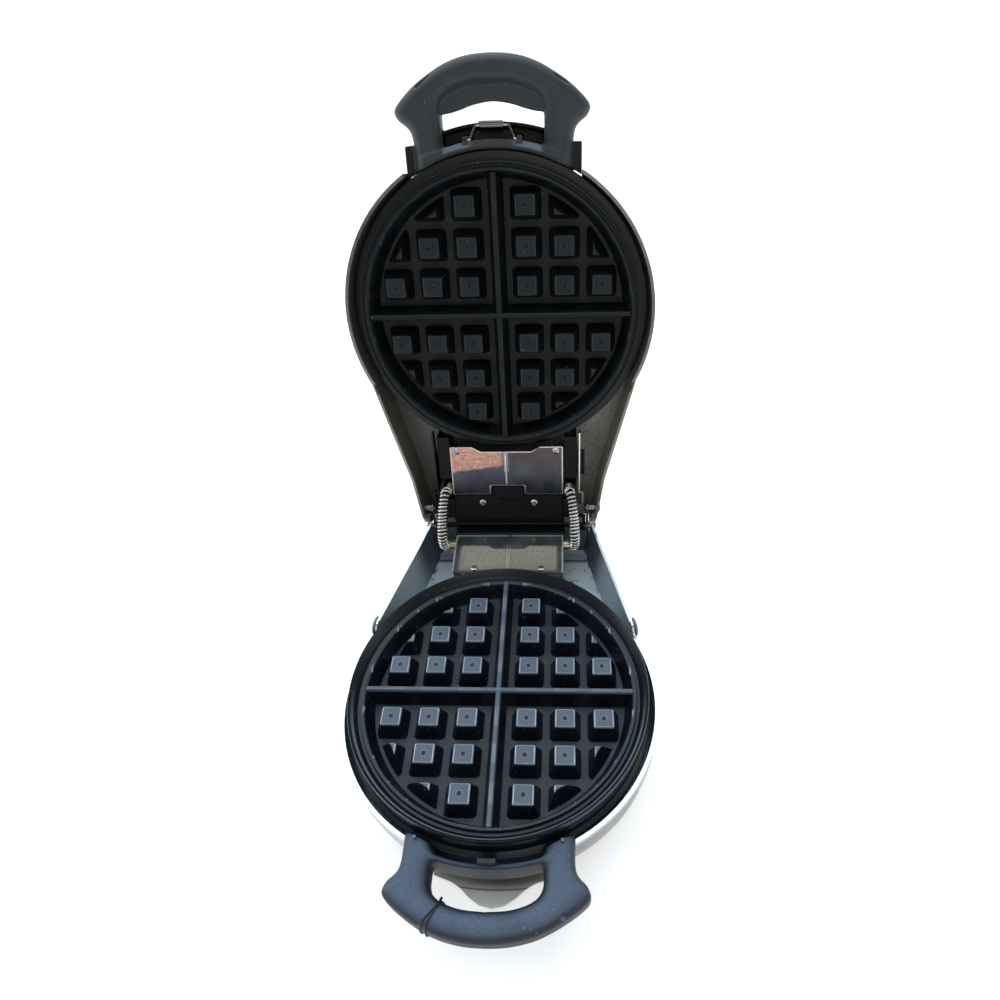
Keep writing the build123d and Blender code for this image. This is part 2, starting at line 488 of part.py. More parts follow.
# black cover over the wiring at the hinge, hollow underneath
hc = prism([(-43.2, -143.0), (-12.6, -143.0), (-12.0, -135.2), (12.0, -135.2), (12.6, -143.0), (43.2, -143.0), (43.2, -170.0),
            (-43.2, -170.0)], -29.2, -0.6)
hc = hc & side_profile([(-134.0, -29.3), (-134.0, -0.6), (-164.6, -0.6), (-168.4, -2.4), (-170.0, -5.8), (-170.0, -24.0), (-166.4, -28.4),
                        (-164.2, -29.3)], 50)
hc = hc - box(-41.2, 41.2, -166.6, -145.0, -30.0, -3.4)
hc = hc - box(-10.6, 10.6, -146.0, -137.0, -30.0, -3.2)
hc = hc + (prism([(-10.5, -147.2), (10.5, -147.2), (10.5, -157.4), (-10.5, -157.4)], -0.7, 0.5, 1.2))
hcs = []
for sx in (-1, 1):
    hc = hc + cyl(sx * 20.7, -149.6, -29.2, -2.0, 3.6)
    hcs.append(pan_head(sx * 20.7, -149.6, -0.6, 2.7, 1.5, 9.0, 2.8))
hc = hc - hcs
put("hinge_cover", hc, LID)
put("hinge_cover_screws", Compound(children=hcs), LID)

# black guards and bright straps on each side of the upper bracket
gd, st = [], []
for sx in (-1, 1):
    def bx(x0, x1, y0, y1, z0, z1):
        a, b = sorted((sx * x0, sx * x1))
        return box(a, b, y0, y1, z0, z1)
    g = bx(45.0, 54.6, -130.6, -94.8, -7.0, -5.4) + bx(45.0, 46.6, -130.6, -94.8, -29.2, -5.4) + bx(45.0, 54.6, -130.6, -108.0, -29.2, -27.6)
    g = g + bx(45.0, 54.6, -144.0, -130.7, -29.2, -17.5) + bx(53.0, 54.6, -130.6, -94.8, -29.2, -5.4)
    gd.append(g)
    a = bx(56.4, 57.4, -141.0, -90.6, -10.0, -2.4) + bx(56.4, 57.4, -141.0, -112.0, -29.2, -9.9) + bx(57.3, 61.6, -138.0, -116.0, -29.2, -28.2)
    a = a + bx(56.4, 60.2, -142.0, -141.0, -10.0, -2.4) + bx(59.2, 60.2, -152.0, -141.5, -10.0, -2.4)
    st.append(a)
put("hinge_side_guards", Compound(children=gd), LID)
put("lid_side_straps", Compound(children=st), LID)

# ---------------------------------------------------------------- hinge links and rivets
lk, lr, ur = [], [], []
for sx in (-1, 1):
    a, b = sorted((sx * LINK_X, sx * (LINK_X + LINK_T)))
    dy, dz = PIVOT_Y - LINK_Y, PIVOT_Z - LINK_Z
    bar = xcyl(a, b, LINK_Y, LINK_Z, 5.2) + xcyl(a, b, PIVOT_Y, PIVOT_Z, 5.2)
    ang = math.degrees(math.atan2(dz, dy))
    ln = math.hypot(dy, dz)
    mid = Pos((a + b) / 2, (LINK_Y + PIVOT_Y) / 2, (LINK_Z + PIVOT_Z) / 2) * Rot(ang, 0, 0) * Box(b - a, ln, 7.6)
    bar = bar + mid
    bar = bar - xcyl(a - 1, b + 1, LINK_Y, LINK_Z, 2.5) - xcyl(a - 1, b + 1, PIVOT_Y, PIVOT_Z, 2.56)
    lk.append(bar)

    def rivet(y, z, xi, xo):
        pts = [(0, LINK_X - 2.0), (1.6, LINK_X - 1.8), (2.9, LINK_X - 1.1), (3.3, LINK_X - 0.12), (2.5, LINK_X - 0.12), (2.5, LINK_X + LINK_T + 0.15), (3.9, LINK_X + LINK_T + 0.15),
               (3.9, xi), (2.5, xi), (2.5, xo), (3.9, xo + 0.05), (3.3, xo + 1.1), (1.8, xo + 1.8), (0, xo + 2.0)]
        s = lathe([(p[0], p[1]) for p in pts])
        return Pos(0, y, z) * Rot(0, 90 * sx, 0) * s
    lr.append(rivet(LINK_Y, LINK_Z, 65.4, 69.4))
    ur.append(rivet(PV, PW, 69.2, 72.6))
put("hinge_links", Compound(children=lk), LOWER)
put("lower_hinge_rivets", Compound(children=lr), LOWER)
put("upper_hinge_rivets", Compound(children=ur), LID)


# ---------------------------------------------------------------- spring-armoured leads
def lid_to_low(x, v, w):
    t = math.radians(TILT)
    return (x, LID_Y + v * math.cos(t) - w * math.sin(t), LID_Z + v * math.sin(t) + w * math.cos(t))


up_fit, low_fit = [], []
for side, sx in (("left", -1), ("right", 1)):
    pts = [(sx * 45.4, 135.6, -5.2), (sx * 50.9, 135.6, -5.6), (sx * 53.4, 131.6, -2.0), (sx * 53.2, 131.6, 10.0), (sx * 52.8, 139.0, 20.5),
           (sx * 51.6, 144.5, 31.0), lid_to_low(sx * 49.6, -137.6, 4.0), lid_to_low(sx * 48.7, -141.5, -5.0), lid_to_low(sx * 48.7, -141.5, -15.0)]
    path = FilletPolyline(*pts, radius=[4.5, 4.5, 16.0, 60.0, 38.0, 4.7, 16.0])
    print("lead bends (mm): 4.5 4.5 16 60 38 4.7 16, length", round(path.length, 1))
    tube = sweep(Plane(origin=pts[0], z_dir=(sx, 0, 0)) * Circle(COND_D / 2), path=path)
    put(side + "_conduit", tube, LOWER)
    d0 = Vector(*pts[7]) - Vector(*pts[8])
    f = Plane(origin=pts[8], z_dir=d0) * (Pos(0, 0, 0.0) * (Cylinder(4.5, 5.0) - Cylinder(1.8, 7.0)))
    up_fit.append(f - tube)
    f = Plane(origin=(sx * 44.12, 135.6, -5.2), z_dir=(sx, 0, 0)) * (Pos(0, 0, 2.0) * (Cylinder(4.7, 4.0) - Cylinder(1.8, 7.0)))
    low_fit.append(f - tube)
put("upper_lead_fittings", Compound(children=up_fit), LOWER)
put("lower_lead_fittings", Compound(children=low_fit), LOWER)

# ---------------------------------------------------------------- rear wiring cover of the lower half
rc = side_profile([(144.9, -3.2), (146.6, -2.6), (159.4, -2.6), (159.9, -3.4), (159.9, -15.0), (158.2, -15.0), (158.2, -4.6), (146.8, -4.6),
                   (146.8, -29.0), (144.9, -29.0)], 45.2)
rc = rc - box(-60, 60, 140, 147.5, -40, -17.6) + box(-39.0, 39.0, 144.9, 146.8, -29.0, -17.4)
rcs = []
for sx in (-1, 1):
    rc = rc + cyl(sx * 34.0, 151.2, -38.6, -4.4, 3.4)
    rcs.append(Pos(sx * 34.0, 151.2, 0) * lathe([(0, -43.0), (2.9, -43.0), (2.9, -41.5), (1.4, -41.5), (1.4, -31.0), (0, -31.0)]))
rc = rc - rcs
put("rear_wiring_cover", rc, LOWER)
put("rear_cover_screws", Compound(children=rcs), LOWER)

# ---------------------------------------------------------------- supply side
tb = box(-17, 17, 132, 146, -40.7, -32.0)
tb = tb - [cyl(x, 139, -36.5, -31.0, 2.3) for x in (-11, 0, 11)]
tb = tb - [Pos(x, 131.9, -35.0) * Rot(90, 0, 0) * Cylinder(1.7, 8) for x in (-11, 0, 11)]
put("terminal_block", tb, LOWER)
gland = Pos(GLAND_X, 159.8, GLAND_Z) * Rot(-90, 0, 0) * (Pos(0, 0, 0) * Cylinder(6.0, 8.0) + Pos(0, 0, 3.35) * Cylinder(8.4, 4.2) - Cylinder(3.4, 30))
gland = gland + (Pos(GLAND_X, 157.6, GLAND_Z) * Rot(-90, 0, 0) * (Cylinder(8.0, 2.6) - Cylinder(3.4, 5)))
put("cord_gland", gland, LOWER)
lens = LAMP * lathe([(0, -2.7), (2.6, -2.5), (5.8, -1.4), (6.6, -0.5), (6.6, -0.1), (5.0, -0.1), (5.0, 7.0), (0, 7.0)])
put("indicator_lamp", lens, LID)

# ---------------------------------------------------------------- base with its front tongue, and feet
PAN0, PAN1 = -49.0, -47.6
rim_s = lathe([(0, PAN0), (97.0, PAN0), (101.2, -43.1), (99.7, -43.1), (96.2, PAN1), (0, PAN1)])
tail_o = prism([(78, 30), (63.5, 151.5), (-63.5, 151.5), (-78, 30)], PAN0, -43.2)
tail_i = prism([(76.4, 28), (62.1, 150.1), (-62.1, 150.1), (-76.4, 28)], PAN1, -42.0)
pan = (tail_o - tail_i - cyl(0, 0, PAN1, -40, 97.0)) + rim_s
pan = pan - (prism([(76.4, 28), (62.1, 150.1), (-62.1, 150.1), (-76.4, 28)], PAN1, -42.0))
tongue_pts = [(-40.0, -88.0), (-38.5, -104.8), (-27.2, -108.4), (-21.0, -111.8), (-15.0, -117.2), (-8.0, -121.6), (0.0, -123.4), (8.0, -121.6), (15.0, -117.2),
              (21.0, -111.8), (27.2, -108.4), (38.5, -104.8), (40.0, -88.0)]
tongue = prism(tongue_pts, -51.2, -49.0)
pan = pan + tongue
feet, fscrew = [], []
for x, y in ((-52, -70), (52, -70), (-54, 138), (54, 138)):
    ft = lathe([(2.0, -49.0), (9.0, -49.0), (10.2, -57.0), (9.4, -58.0), (5.0, -58.0), (5.0, -53.0), (2.0, -53.0)])
    feet.append(Pos(x, y, 0) * ft)
    fs = lathe([(0, -55.0), (4.4, -55.0), (4.4, -53.0), (1.8, -53.0), (1.8, -45.2), (0, -45.2)])
    fscrew.append(Pos(x, y, 0) * fs)
    pan = pan - cyl(x, y, -52, -44, 1.8)
put("base_pan", pan, LOWER)
put("rubber_feet", Compound(children=feet), LOWER)
put("foot_screws", Compound(children=fscrew), LOWER)

# holes in the lower shell for its screws
NODES["lower_shell"] = NODES["lower_shell"] - (LOWER * Compound(children=shell_screws)) - (LOWER * Compound(children=rcs))

os.makedirs("parts", exist_ok=True)
for n, s in NODES.items():
    export_step(s, "parts/" + n + ".step")
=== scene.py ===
import math
import bpy
import bmesh
from mathutils import Matrix, Vector, Euler


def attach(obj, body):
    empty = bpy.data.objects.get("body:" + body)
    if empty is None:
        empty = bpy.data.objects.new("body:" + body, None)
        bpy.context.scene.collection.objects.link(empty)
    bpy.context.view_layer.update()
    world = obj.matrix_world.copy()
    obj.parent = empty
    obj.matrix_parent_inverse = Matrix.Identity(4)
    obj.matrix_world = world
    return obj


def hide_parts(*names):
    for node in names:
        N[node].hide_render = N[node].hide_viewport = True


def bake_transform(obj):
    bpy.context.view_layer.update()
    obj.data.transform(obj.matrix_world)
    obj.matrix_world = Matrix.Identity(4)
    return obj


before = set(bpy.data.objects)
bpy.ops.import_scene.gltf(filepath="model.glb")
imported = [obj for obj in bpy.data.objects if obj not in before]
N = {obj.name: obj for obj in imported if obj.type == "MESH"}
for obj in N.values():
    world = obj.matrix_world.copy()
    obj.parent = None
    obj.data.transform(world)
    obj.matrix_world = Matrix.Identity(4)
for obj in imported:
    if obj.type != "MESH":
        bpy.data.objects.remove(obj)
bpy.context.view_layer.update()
scene = bpy.context.scene

# ------------------------------------------------------------------ the part's own frames (metres)
PY, PZ = -0.0608, 0.058
PIV_Y, PIV_Z, GAP = 0.160, 0.0137, 0.0035
OPEN = math.radians(107.6)
TILT = math.pi - OPEN
_c, _s = math.cos(-OPEN), math.sin(-OPEN)
_ry, _rz = -PIV_Y, GAP - PIV_Z
LID_Y = PIV_Y + _ry * _c - _rz * _s
LID_Z = PIV_Z + _ry * _s + _rz * _c
M_LOW = Matrix.Translation((0, PY, PZ))
M_LID = Matrix.Translation((0, PY + LID_Y, PZ + LID_Z)) @ Matrix.Rotation(TILT, 4, "X")


def low(x, y, z):
    """Plate coordinates in mm of the lower half to the part's frame."""
    return M_LOW @ Vector((x / 1000, y / 1000, z / 1000))


def lid(x, v, w):
    return M_LID @ Vector((x / 1000, v / 1000, w / 1000))


# ------------------------------------------------------------------ camera
cam_data = bpy.data.cameras.new("camera")
cam = bpy.data.objects.new("camera", cam_data)
scene.collection.objects.link(cam)
r = Vector((0.99869, 0.03372, -0.03856))
d = Vector((-0.00158, -0.73206, -0.68124))
f = Vector((-0.05120, 0.68041, -0.73104))
R = Matrix((r, -d, -f)).transposed()
cam.matrix_world = Matrix.Translation(low(48.1, -245.9, 440.2)) @ R.to_4x4()
cam_data.sensor_width = 36.0
cam_data.lens = 25.72
cam_data.shift_x = -0.0316
cam_data.shift_y = 0.0158
cam_data.clip_start = 0.01
cam_data.clip_end = 20
scene.camera = cam


# ------------------------------------------------------------------ material helpers
def new_mat(name):
    m = bpy.data.materials.new(name)
    m.use_nodes = True
    nt = m.node_tree
    b = nt.nodes["Principled BSDF"]
    return m, nt, b


def tex_coord(nt, matrix=None):
    tc = nt.nodes.new("ShaderNodeTexCoord")
    if matrix is None:
        return tc.outputs["Object"]
    inv = matrix.inverted()
    mp = nt.nodes.new("ShaderNodeMapping")
    mp.vector_type = "POINT"
    mp.inputs["Location"].default_value = inv.to_translation()
    mp.inputs["Rotation"].default_value = inv.to_euler()
    nt.links.new(tc.outputs["Object"], mp.inputs["Vector"])
    return mp.outputs["Vector"]


def noise(nt, vec, scale, detail=4.0, rough=0.55, stretch=None, distortion=0.0):
    n = nt.nodes.new("ShaderNodeTexNoise")
    n.inputs["Scale"].default_value = scale
    n.inputs["Detail"].default_value = detail
    n.inputs["Roughness"].default_value = rough
    n.inputs["Distortion"].default_value = distortion
    if stretch is not None:
        mp = nt.nodes.new("ShaderNodeMapping")
        mp.inputs["Scale"].default_value = stretch
        nt.links.new(vec, mp.inputs["Vector"])
        vec = mp.outputs["Vector"]
    nt.links.new(vec, n.inputs["Vector"])
    return n.outputs["Fac"]


def ramp(nt, fac, stops):
    n = nt.nodes.new("ShaderNodeValToRGB")
    e = n.color_ramp.elements
    while len(e) < len(stops):
        e.new(0.5)
    for el, (p, c) in zip(e, stops):
        el.position = p
        el.color = (c[0], c[1], c[2], 1.0) if not isinstance(c, (int, float)) else (c, c, c, 1.0)
    nt.links.new(fac, n.inputs["Fac"])
    return n.outputs["Color"]


def mix(nt, fac, a, b):
    n = nt.nodes.new("ShaderNodeMix")
    n.data_type = "RGBA"
    if isinstance(fac, (int, float)):
        n.inputs[0].default_value = fac
    else:
        nt.links.new(fac, n.inputs[0])
    for sock, v in ((n.inputs[6], a), (n.inputs[7], b)):
        if isinstance(v, tuple):
            sock.default_value = (v[0], v[1], v[2], 1.0)
        else:
            nt.links.new(v, sock)
    return n.outputs[2]


def mathn(nt, op, a, b=None, clamp=False):
    n = nt.nodes.new("ShaderNodeMath")
    n.operation = op
    n.use_clamp = clamp
    for i, v in enumerate((a, b)):
        if v is None:
            continue
        if isinstance(v, (int, float)):
            n.inputs[i].default_value = v
        else:
            nt.links.new(v, n.inputs[i])
    return n.outputs[0]


def rng(nt, v, a, b, c, d):
    n = nt.nodes.new("ShaderNodeMapRange")
    n.inputs[1].default_value = a
    n.inputs[2].default_value = b
    n.inputs[3].default_value = c
    n.inputs[4].default_value = d
    nt.links.new(v, n.inputs[0])
    return n.outputs[0]


def bump(nt, b, heights):
    """heights: list of (socket, distance in metres, strength)."""
    prev = None
    for h, dist, st in heights:
        n = nt.nodes.new("ShaderNodeBump")
        n.inputs["Distance"].default_value = dist
        n.inputs["Strength"].default_value = st
        nt.links.new(h, n.inputs["Height"])
        if prev is not None:
            nt.links.new(prev, n.inputs["Normal"])
        prev = n.outputs["Normal"]
    nt.links.new(prev, b.inputs["Normal"])


def sepxyz(nt, vec):
    n = nt.nodes.new("ShaderNodeSeparateXYZ")
    nt.links.new(vec, n.inputs[0])
    return n.outputs[0], n.outputs[1], n.outputs[2]


# ------------------------------------------------------------------ materials
def scaled(nt, vec, k):
    n = nt.nodes.new("ShaderNodeVectorMath")
    n.operation = "SCALE"
    n.inputs["Scale"].default_value = k
    nt.links.new(vec, n.inputs[0])
    return n.outputs[0]


def ss(nt, v, a, b_):
    """0 at a, 1 at b, smooth between."""
    n = nt.nodes.new("ShaderNodeMapRange")
    n.interpolation_type = "SMOOTHSTEP"
    n.inputs["From Min"].default_value = min(a, b_)
    n.inputs["From Max"].default_value = max(a, b_)
    n.inputs["To Min"].default_value = 0.0 if a < b_ else 1.0
    n.inputs["To Max"].default_value = 1.0 if a < b_ else 0.0
    nt.links.new(v, n.inputs["Value"])
    return n.outputs["Result"]


def mul(nt, *s):
    out = s[0]
    for q in s[1:]:
        out = mathn(nt, "MULTIPLY", out, q)
    return out


def absx(nt, s):
    return mathn(nt, "ABSOLUTE", s)


def specks(nt, v, scale, size, share):
    """Scattered dots: one in some of the cells, size is a share of the cell."""
    vo = nt.nodes.new("ShaderNodeTexVoronoi")
    vo.inputs["Scale"].default_value = scale
    nt.links.new(v, vo.inputs["Vector"])
    sc = nt.nodes.new("ShaderNodeSeparateColor")
    nt.links.new(vo.outputs["Color"], sc.inputs[0])
    dot = ss(nt, vo.outputs["Distance"], size, size * 0.5)
    pick = ss(nt, sc.outputs[0], 1 - share - 0.01, 1 - share + 0.01)
    return mul(nt, dot, pick)


def m_plate(name, matrix, flank, floor, top, edge, bar, lip, flange, rough, crumb, spec=0.42, side=0.35, glint=0.0):
    """Non-stick coating over the peg pattern with its light and shade painted in: pale peg tops and bright peg edges as
    painted highlights, dark flanks and floors as painted shade, dark dimples with a pale painted ring, and the bar and
    lip tops painted in colours set per plate for how the light falls.
    """
    m, nt, b = new_mat(name)
    v = tex_coord(nt, matrix)
    x, y, z = sepxyz(nt, scaled(nt, v, 1000.0))
    du = mathn(nt, "PINGPONG", mathn(nt, "SUBTRACT", absx(nt, x), 19.97), 12.9)
    dv = mathn(nt, "PINGPONG", mathn(nt, "SUBTRACT", absx(nt, y), 19.97), 12.9)
    q = mathn(nt, "MAXIMUM", du, dv)
    rad = mathn(nt, "SQRT", mathn(nt, "ADD", mul(nt, x, x), mul(nt, y, y)))
    inside = ss(nt, rad, 93.0, 92.4)
    n1 = noise(nt, v, 60, 5)
    n2 = noise(nt, v, 900, 3)
    n3 = noise(nt, v, 2600, 2)
    n4 = noise(nt, v, 22, 6, 0.65)
    t_floor = mul(nt, ss(nt, z, -12.2, -12.85), inside)
    t_top = mul(nt, ss(nt, z, -0.8, -0.3), inside)
    dr = mathn(nt, "SQRT", mathn(nt, "ADD", mul(nt, du, du), mul(nt, dv, dv)))
    t_dr = mul(nt, ss(nt, dr, 1.45, 1.7), ss(nt, dr, 2.3, 2.0), t_top)
    t_edge = mul(nt, ss(nt, q, 5.55, 5.95), ss(nt, q, 7.1, 6.7), ss(nt, z, -1.5, -0.9), inside)
    # edge highlights painted full on the left and right sides of each peg, weaker (side) on the front and back
    t_edge = mul(nt, t_edge, rng(nt, ss(nt, mathn(nt, "SUBTRACT", du, dv), -0.3, 0.5), 0, 1, side, 1.0))
    dimp = mul(nt, ss(nt, mathn(nt, "SQRT", mathn(nt, "ADD", mul(nt, du, du), mul(nt, dv, dv))), 1.9, 1.5), ss(nt, z, -0.35, -0.75), ss(nt, z, -4.0, -3.0), inside)
    t_bar = mul(nt, ss(nt, z, 0.85, 1.15), inside, ss(nt, mathn(nt, "MINIMUM", absx(nt, x), absx(nt, y)), 1.15, 0.65))
    t_lip = mul(nt, ss(nt, rad, 92.6, 93.1), ss(nt, rad, 94.5, 94.0), ss(nt, z, 0.7, 1.15))
    t_out = ss(nt, rad, 94.6, 95.2)
    # painted light and shade: flank and floor tones, pale peg tops, highlights on the peg edges and round the dimples,
    # dark dimple hollows, and the bar and lip tops
    col = mix(nt, t_floor, flank, floor)
    col = mix(nt, t_top, col, mix(nt, rng(nt, n4, 0.35, 0.65, 0, 1), tuple(c * 0.85 for c in top), tuple(c * 1.12 for c in top)))
    col = mix(nt, mul(nt, t_edge, rng(nt, n1, 0.3, 0.6, 0.35, 1.0)), col, edge)
    col = mix(nt, mathn(nt, "MULTIPLY", t_dr, 0.18), col, edge)
    col = mix(nt, mathn(nt, "MULTIPLY", dimp, 0.85), col, tuple(c * 0.12 for c in top))
    col = mix(nt, mul(nt, t_bar, rng(nt, n1, 0.3, 0.6, 0.5, 1.0)), col, bar)
    col = mix(nt, mul(nt, t_lip, rng(nt, n1, 0.3, 0.65, 0.3, 1.0)), col, lip)
    col = mix(nt, t_out, col, flange)
    if glint:
        # the flange's front lip catches the light in a thin line
        gl = mul(nt, ss(nt, rad, 98.6, 99.2), ss(nt, rad, 100.6, 100.0), ss(nt, y, 10.0, -45.0))
        col = mix(nt, mathn(nt, "MULTIPLY", gl, glint), col, (0.16, 0.19, 0.23))
    # a thin film dried greyer in patches, with a few crumbs and scratches
    col = mix(nt, rng(nt, noise(nt, v, 25, 6, 0.65), 0.52, 0.75, 0, 0.10), col, (0.030, 0.032, 0.034))
    sc = rng(nt, noise(nt, v, 160, 2, 0.5, stretch=(1.0, 9.0, 1.0)), 0.70, 0.74, 0, 0.30)
    col = mix(nt, mul(nt, sc, t_floor), col, (0.05, 0.055, 0.06))
    cr = mathn(nt, "MAXIMUM", specks(nt, v, 190, 0.10, crumb), specks(nt, v, 420, 0.16, crumb * 0.7))
    col = mix(nt, mathn(nt, "MULTIPLY", cr, 0.75), col, (0.30, 0.29, 0.27))
    nt.links.new(col, b.inputs["Base Color"])
    rr = mathn(nt, "ADD", rng(nt, n2, 0.3, 0.7, rough - 0.05, rough + 0.05), rng(nt, n1, 0.3, 0.7, -0.05, 0.06))
    rr = mathn(nt, "ADD", rr, mathn(nt, "MULTIPLY", t_floor, 0.10))
    rr = mathn(nt, "ADD", rr, mathn(nt, "MULTIPLY", t_top, 0.04))
    nt.links.new(rr, b.inputs["Roughness"])
    b.inputs["Specular IOR Level"].default_value = spec
    bump(nt, b, [(n1, 0.0005, 0.10), (n2, 0.00010, 0.35), (n3, 0.00004, 0.4), (cr, 0.0003, 0.5)])
    return m


def m_plastic(name, col, rough, matrix=None, grain=1500, film=0.15, dust=(0.2, 0.2, 0.2), spec=0.5, dots=0.0, sheen=0.0, paint=None):
    m, nt, b = new_mat(name)
    v = tex_coord(nt, matrix)
    n1 = noise(nt, v, 35, 5)
    n2 = noise(nt, v, grain, 3)
    base = mix(nt, rng(nt, n1, 0.3, 0.7, 0, 1), tuple(c * 0.85 for c in col), tuple(c * 1.15 for c in col))
    fm = rng(nt, noise(nt, v, 120, 6, 0.7), 0.55, 0.8, 0, film)
    base = mix(nt, fm, base, dust)
    base = mix(nt, rng(nt, n2, 0.62, 0.80, 0, 0.5), base, tuple(min(1, c * 2.2) for c in col))
    if paint is not None:
        base = paint(nt, v, base, n1)
    hs = [(n1, 0.0004, 0.12), (n2, 0.00008, 0.5)]
    if dots:
        dt = mathn(nt, "MAXIMUM", specks(nt, v, 170, 0.10, dots), specks(nt, v, 330, 0.15, dots))
        base = mix(nt, mathn(nt, "MULTIPLY", dt, 0.6), base, tuple(min(1, c * 2 + 0.10) for c in dust))
        hs.append((dt, 0.0002, 0.5))
    nt.links.new(base, b.inputs["Base Color"])
    nt.links.new(mathn(nt, "ADD", rng(nt, n1, 0.3, 0.7, rough - 0.04, rough + 0.05), rng(nt, n2, 0.3, 0.7, -0.04, 0.04)), b.inputs["Roughness"])
    b.inputs["Specular IOR Level"].default_value = spec
    if sheen:
        b.inputs["Sheen Weight"].default_value = sheen
        b.inputs["Sheen Roughness"].default_value = 0.45
    bump(nt, b, hs)
    return m


def m_steel(name, col=(0.62, 0.61, 0.58), rough=0.22, stain=0.0, stain_col=(0.16, 0.12, 0.06), brushed=None, matrix=None, speckle=0.0, scratch=0.3, paint=None, metal=1.0):
    m, nt, b = new_mat(name)
    v = tex_coord(nt, matrix)
    n1 = noise(nt, v, 40, 5)
    n2 = noise(nt, v, 800, 4, 0.6, stretch=brushed)
    base = mix(nt, rng(nt, n1, 0.3, 0.7, 0, 1), tuple(c * 0.92 for c in col), tuple(min(1, c * 1.06) for c in col))
    if paint is not None:
        base = paint(nt, v, base, n1)
    if stain:
        sfac = rng(nt, noise(nt, v, 28, 7, 0.68, distortion=0.6), 0.45, 0.72, 0, stain)
        base = mix(nt, sfac, base, stain_col)
    b.inputs["Metallic"].default_value = metal
    rgh = mathn(nt, "ADD", rng(nt, n1, 0.3, 0.7, rough - 0.05, rough + 0.07), rng(nt, n2, 0.3, 0.7, -0.03, 0.03))
    if speckle:
        sp = rng(nt, noise(nt, v, 520, 5, 0.7), 0.54, 0.64, 0, speckle)
        region = rng(nt, noise(nt, v, 22, 3), 0.38, 0.60, 0, 1)
        sp = mathn(nt, "MULTIPLY", sp, region)
        base = mix(nt, sp, base, tuple(c * 0.28 for c in stain_col))
        rgh = mathn(nt, "ADD", rgh, mathn(nt, "MULTIPLY", sp, 0.3))
    nt.links.new(base, b.inputs["Base Color"])
    nt.links.new(rgh, b.inputs["Roughness"])
    bump(nt, b, [(n1, 0.0003, 0.08), (n2, 0.00003, scratch)])
    return m


def paint_grip_low(nt, v, base, n1):
    """Painted highlight over the top of the lower grip, a pale blue-grey sky reflection, and painted shade on its front
    lower side.
    """
    x, y, z = sepxyz(nt, scaled(nt, v, 1000.0))
    # painted highlight: sky reflection on the grip's top
    t = mul(nt, ss(nt, z, -6.6, -2.9), rng(nt, n1, 0.3, 0.7, 0.6, 1.0), rng(nt, noise(nt, v, 1300, 2), 0.3, 0.7, 0.72, 1.25))
    c = mix(nt, mathn(nt, "MULTIPLY", t, 0.62), base, (0.145, 0.195, 0.28))
    # painted shade: the front lower side of the grip near black
    fr_ = mul(nt, ss(nt, z, -4.6, -8.6), ss(nt, y, -120.0, -132.0))
    return mix(nt, mathn(nt, "MULTIPLY", fr_, 0.9), c, (0.004, 0.0045, 0.005))


def paint_grip_up(nt, v, base, n1):
    """Ledge between the legs: painted pale blue-grey highlight, a sky reflection, on either side of the latch with the
    middle left darker; painted shade on the root below the ledge; the latch lugs painted darker.
    """
    x, y, z = sepxyz(nt, scaled(nt, v, 1000.0))
    rad = mathn(nt, "SQRT", mathn(nt, "ADD", mul(nt, x, x), mul(nt, y, y)))
    ax = absx(nt, x)
    t = mul(nt, ss(nt, rad, 106.4, 107.4), ss(nt, rad, 111.6, 110.6), ss(nt, ax, 11.0, 18.0), ss(nt, ax, 33.0, 30.0), ss(nt, y, 90.0, 96.0), ss(nt, z, -10.5, -8.0))
    # painted shade on the root below the ledge
    foot = mul(nt, ss(nt, rad, 107.2, 106.2), ss(nt, z, -14.0, -9.0))
    c = mix(nt, mathn(nt, "MULTIPLY", foot, 0.72), base, (0.0045, 0.0055, 0.0060))
    # the latch lugs painted darker
    lugm = mul(nt, ss(nt, ax, 14.6, 15.4), ss(nt, ax, 19.8, 19.0), ss(nt, rad, 107.8, 108.6), ss(nt, rad, 115.0, 113.5))
    # painted highlight: sky reflection on the ledge
    c = mix(nt, mathn(nt, "MULTIPLY", t, 0.8), c, (0.13, 0.165, 0.225))
    return mix(nt, mathn(nt, "MULTIPLY", lugm, 0.9), c, (0.0040, 0.0048, 0.0052))


def paint_low_outer(nt, v, base, n1):
    """Outside of the lower shell with a painted reflection: bright under the rim, painted darker grey towards the table
    and the front, more on the right, with a painted olive-brown reflection band.
    """
    x, y, z = sepxyz(nt, scaled(nt, v, 1000.0))
    # painted reflection: darker grey towards the table and the front, more on the right
    lowm = ss(nt, z, -14.0, -34.0)
    side = ss(nt, x, -40.0, 60.0)
    c = mix(nt, mul(nt, lowm, rng(nt, side, 0, 1, 0.35, 0.95)), base, (0.13, 0.135, 0.12))
    fr_ = mul(nt, ss(nt, y, 15.0, -55.0), ss(nt, z, -8.5, -19.0), rng(nt, side, 0, 1, 0.55, 0.92))
    c = mix(nt, fr_, c, (0.20, 0.205, 0.185))
    # painted reflection: olive-brown band low on the right
    band = mul(nt, ss(nt, z, -15.0, -17.5), ss(nt, z, -21.0, -18.5), side)
    return mix(nt, mathn(nt, "MULTIPLY", band, 0.55), c, (0.16, 0.13, 0.07))


def paint_low_wall(nt, v, base, n1):
    """Inner walls of the lower half: pale beside the plate, dark towards the hinge."""
    x, y, z = sepxyz(nt, scaled(nt, v, 1000.0))
    t = ss(nt, mathn(nt, "ADD", y, rng(nt, n1, 0.3, 0.7, -5, 5)), 112.0, 138.0)
    return mix(nt, mathn(nt, "MULTIPLY", t, 0.86), base, (0.055, 0.080, 0.100))


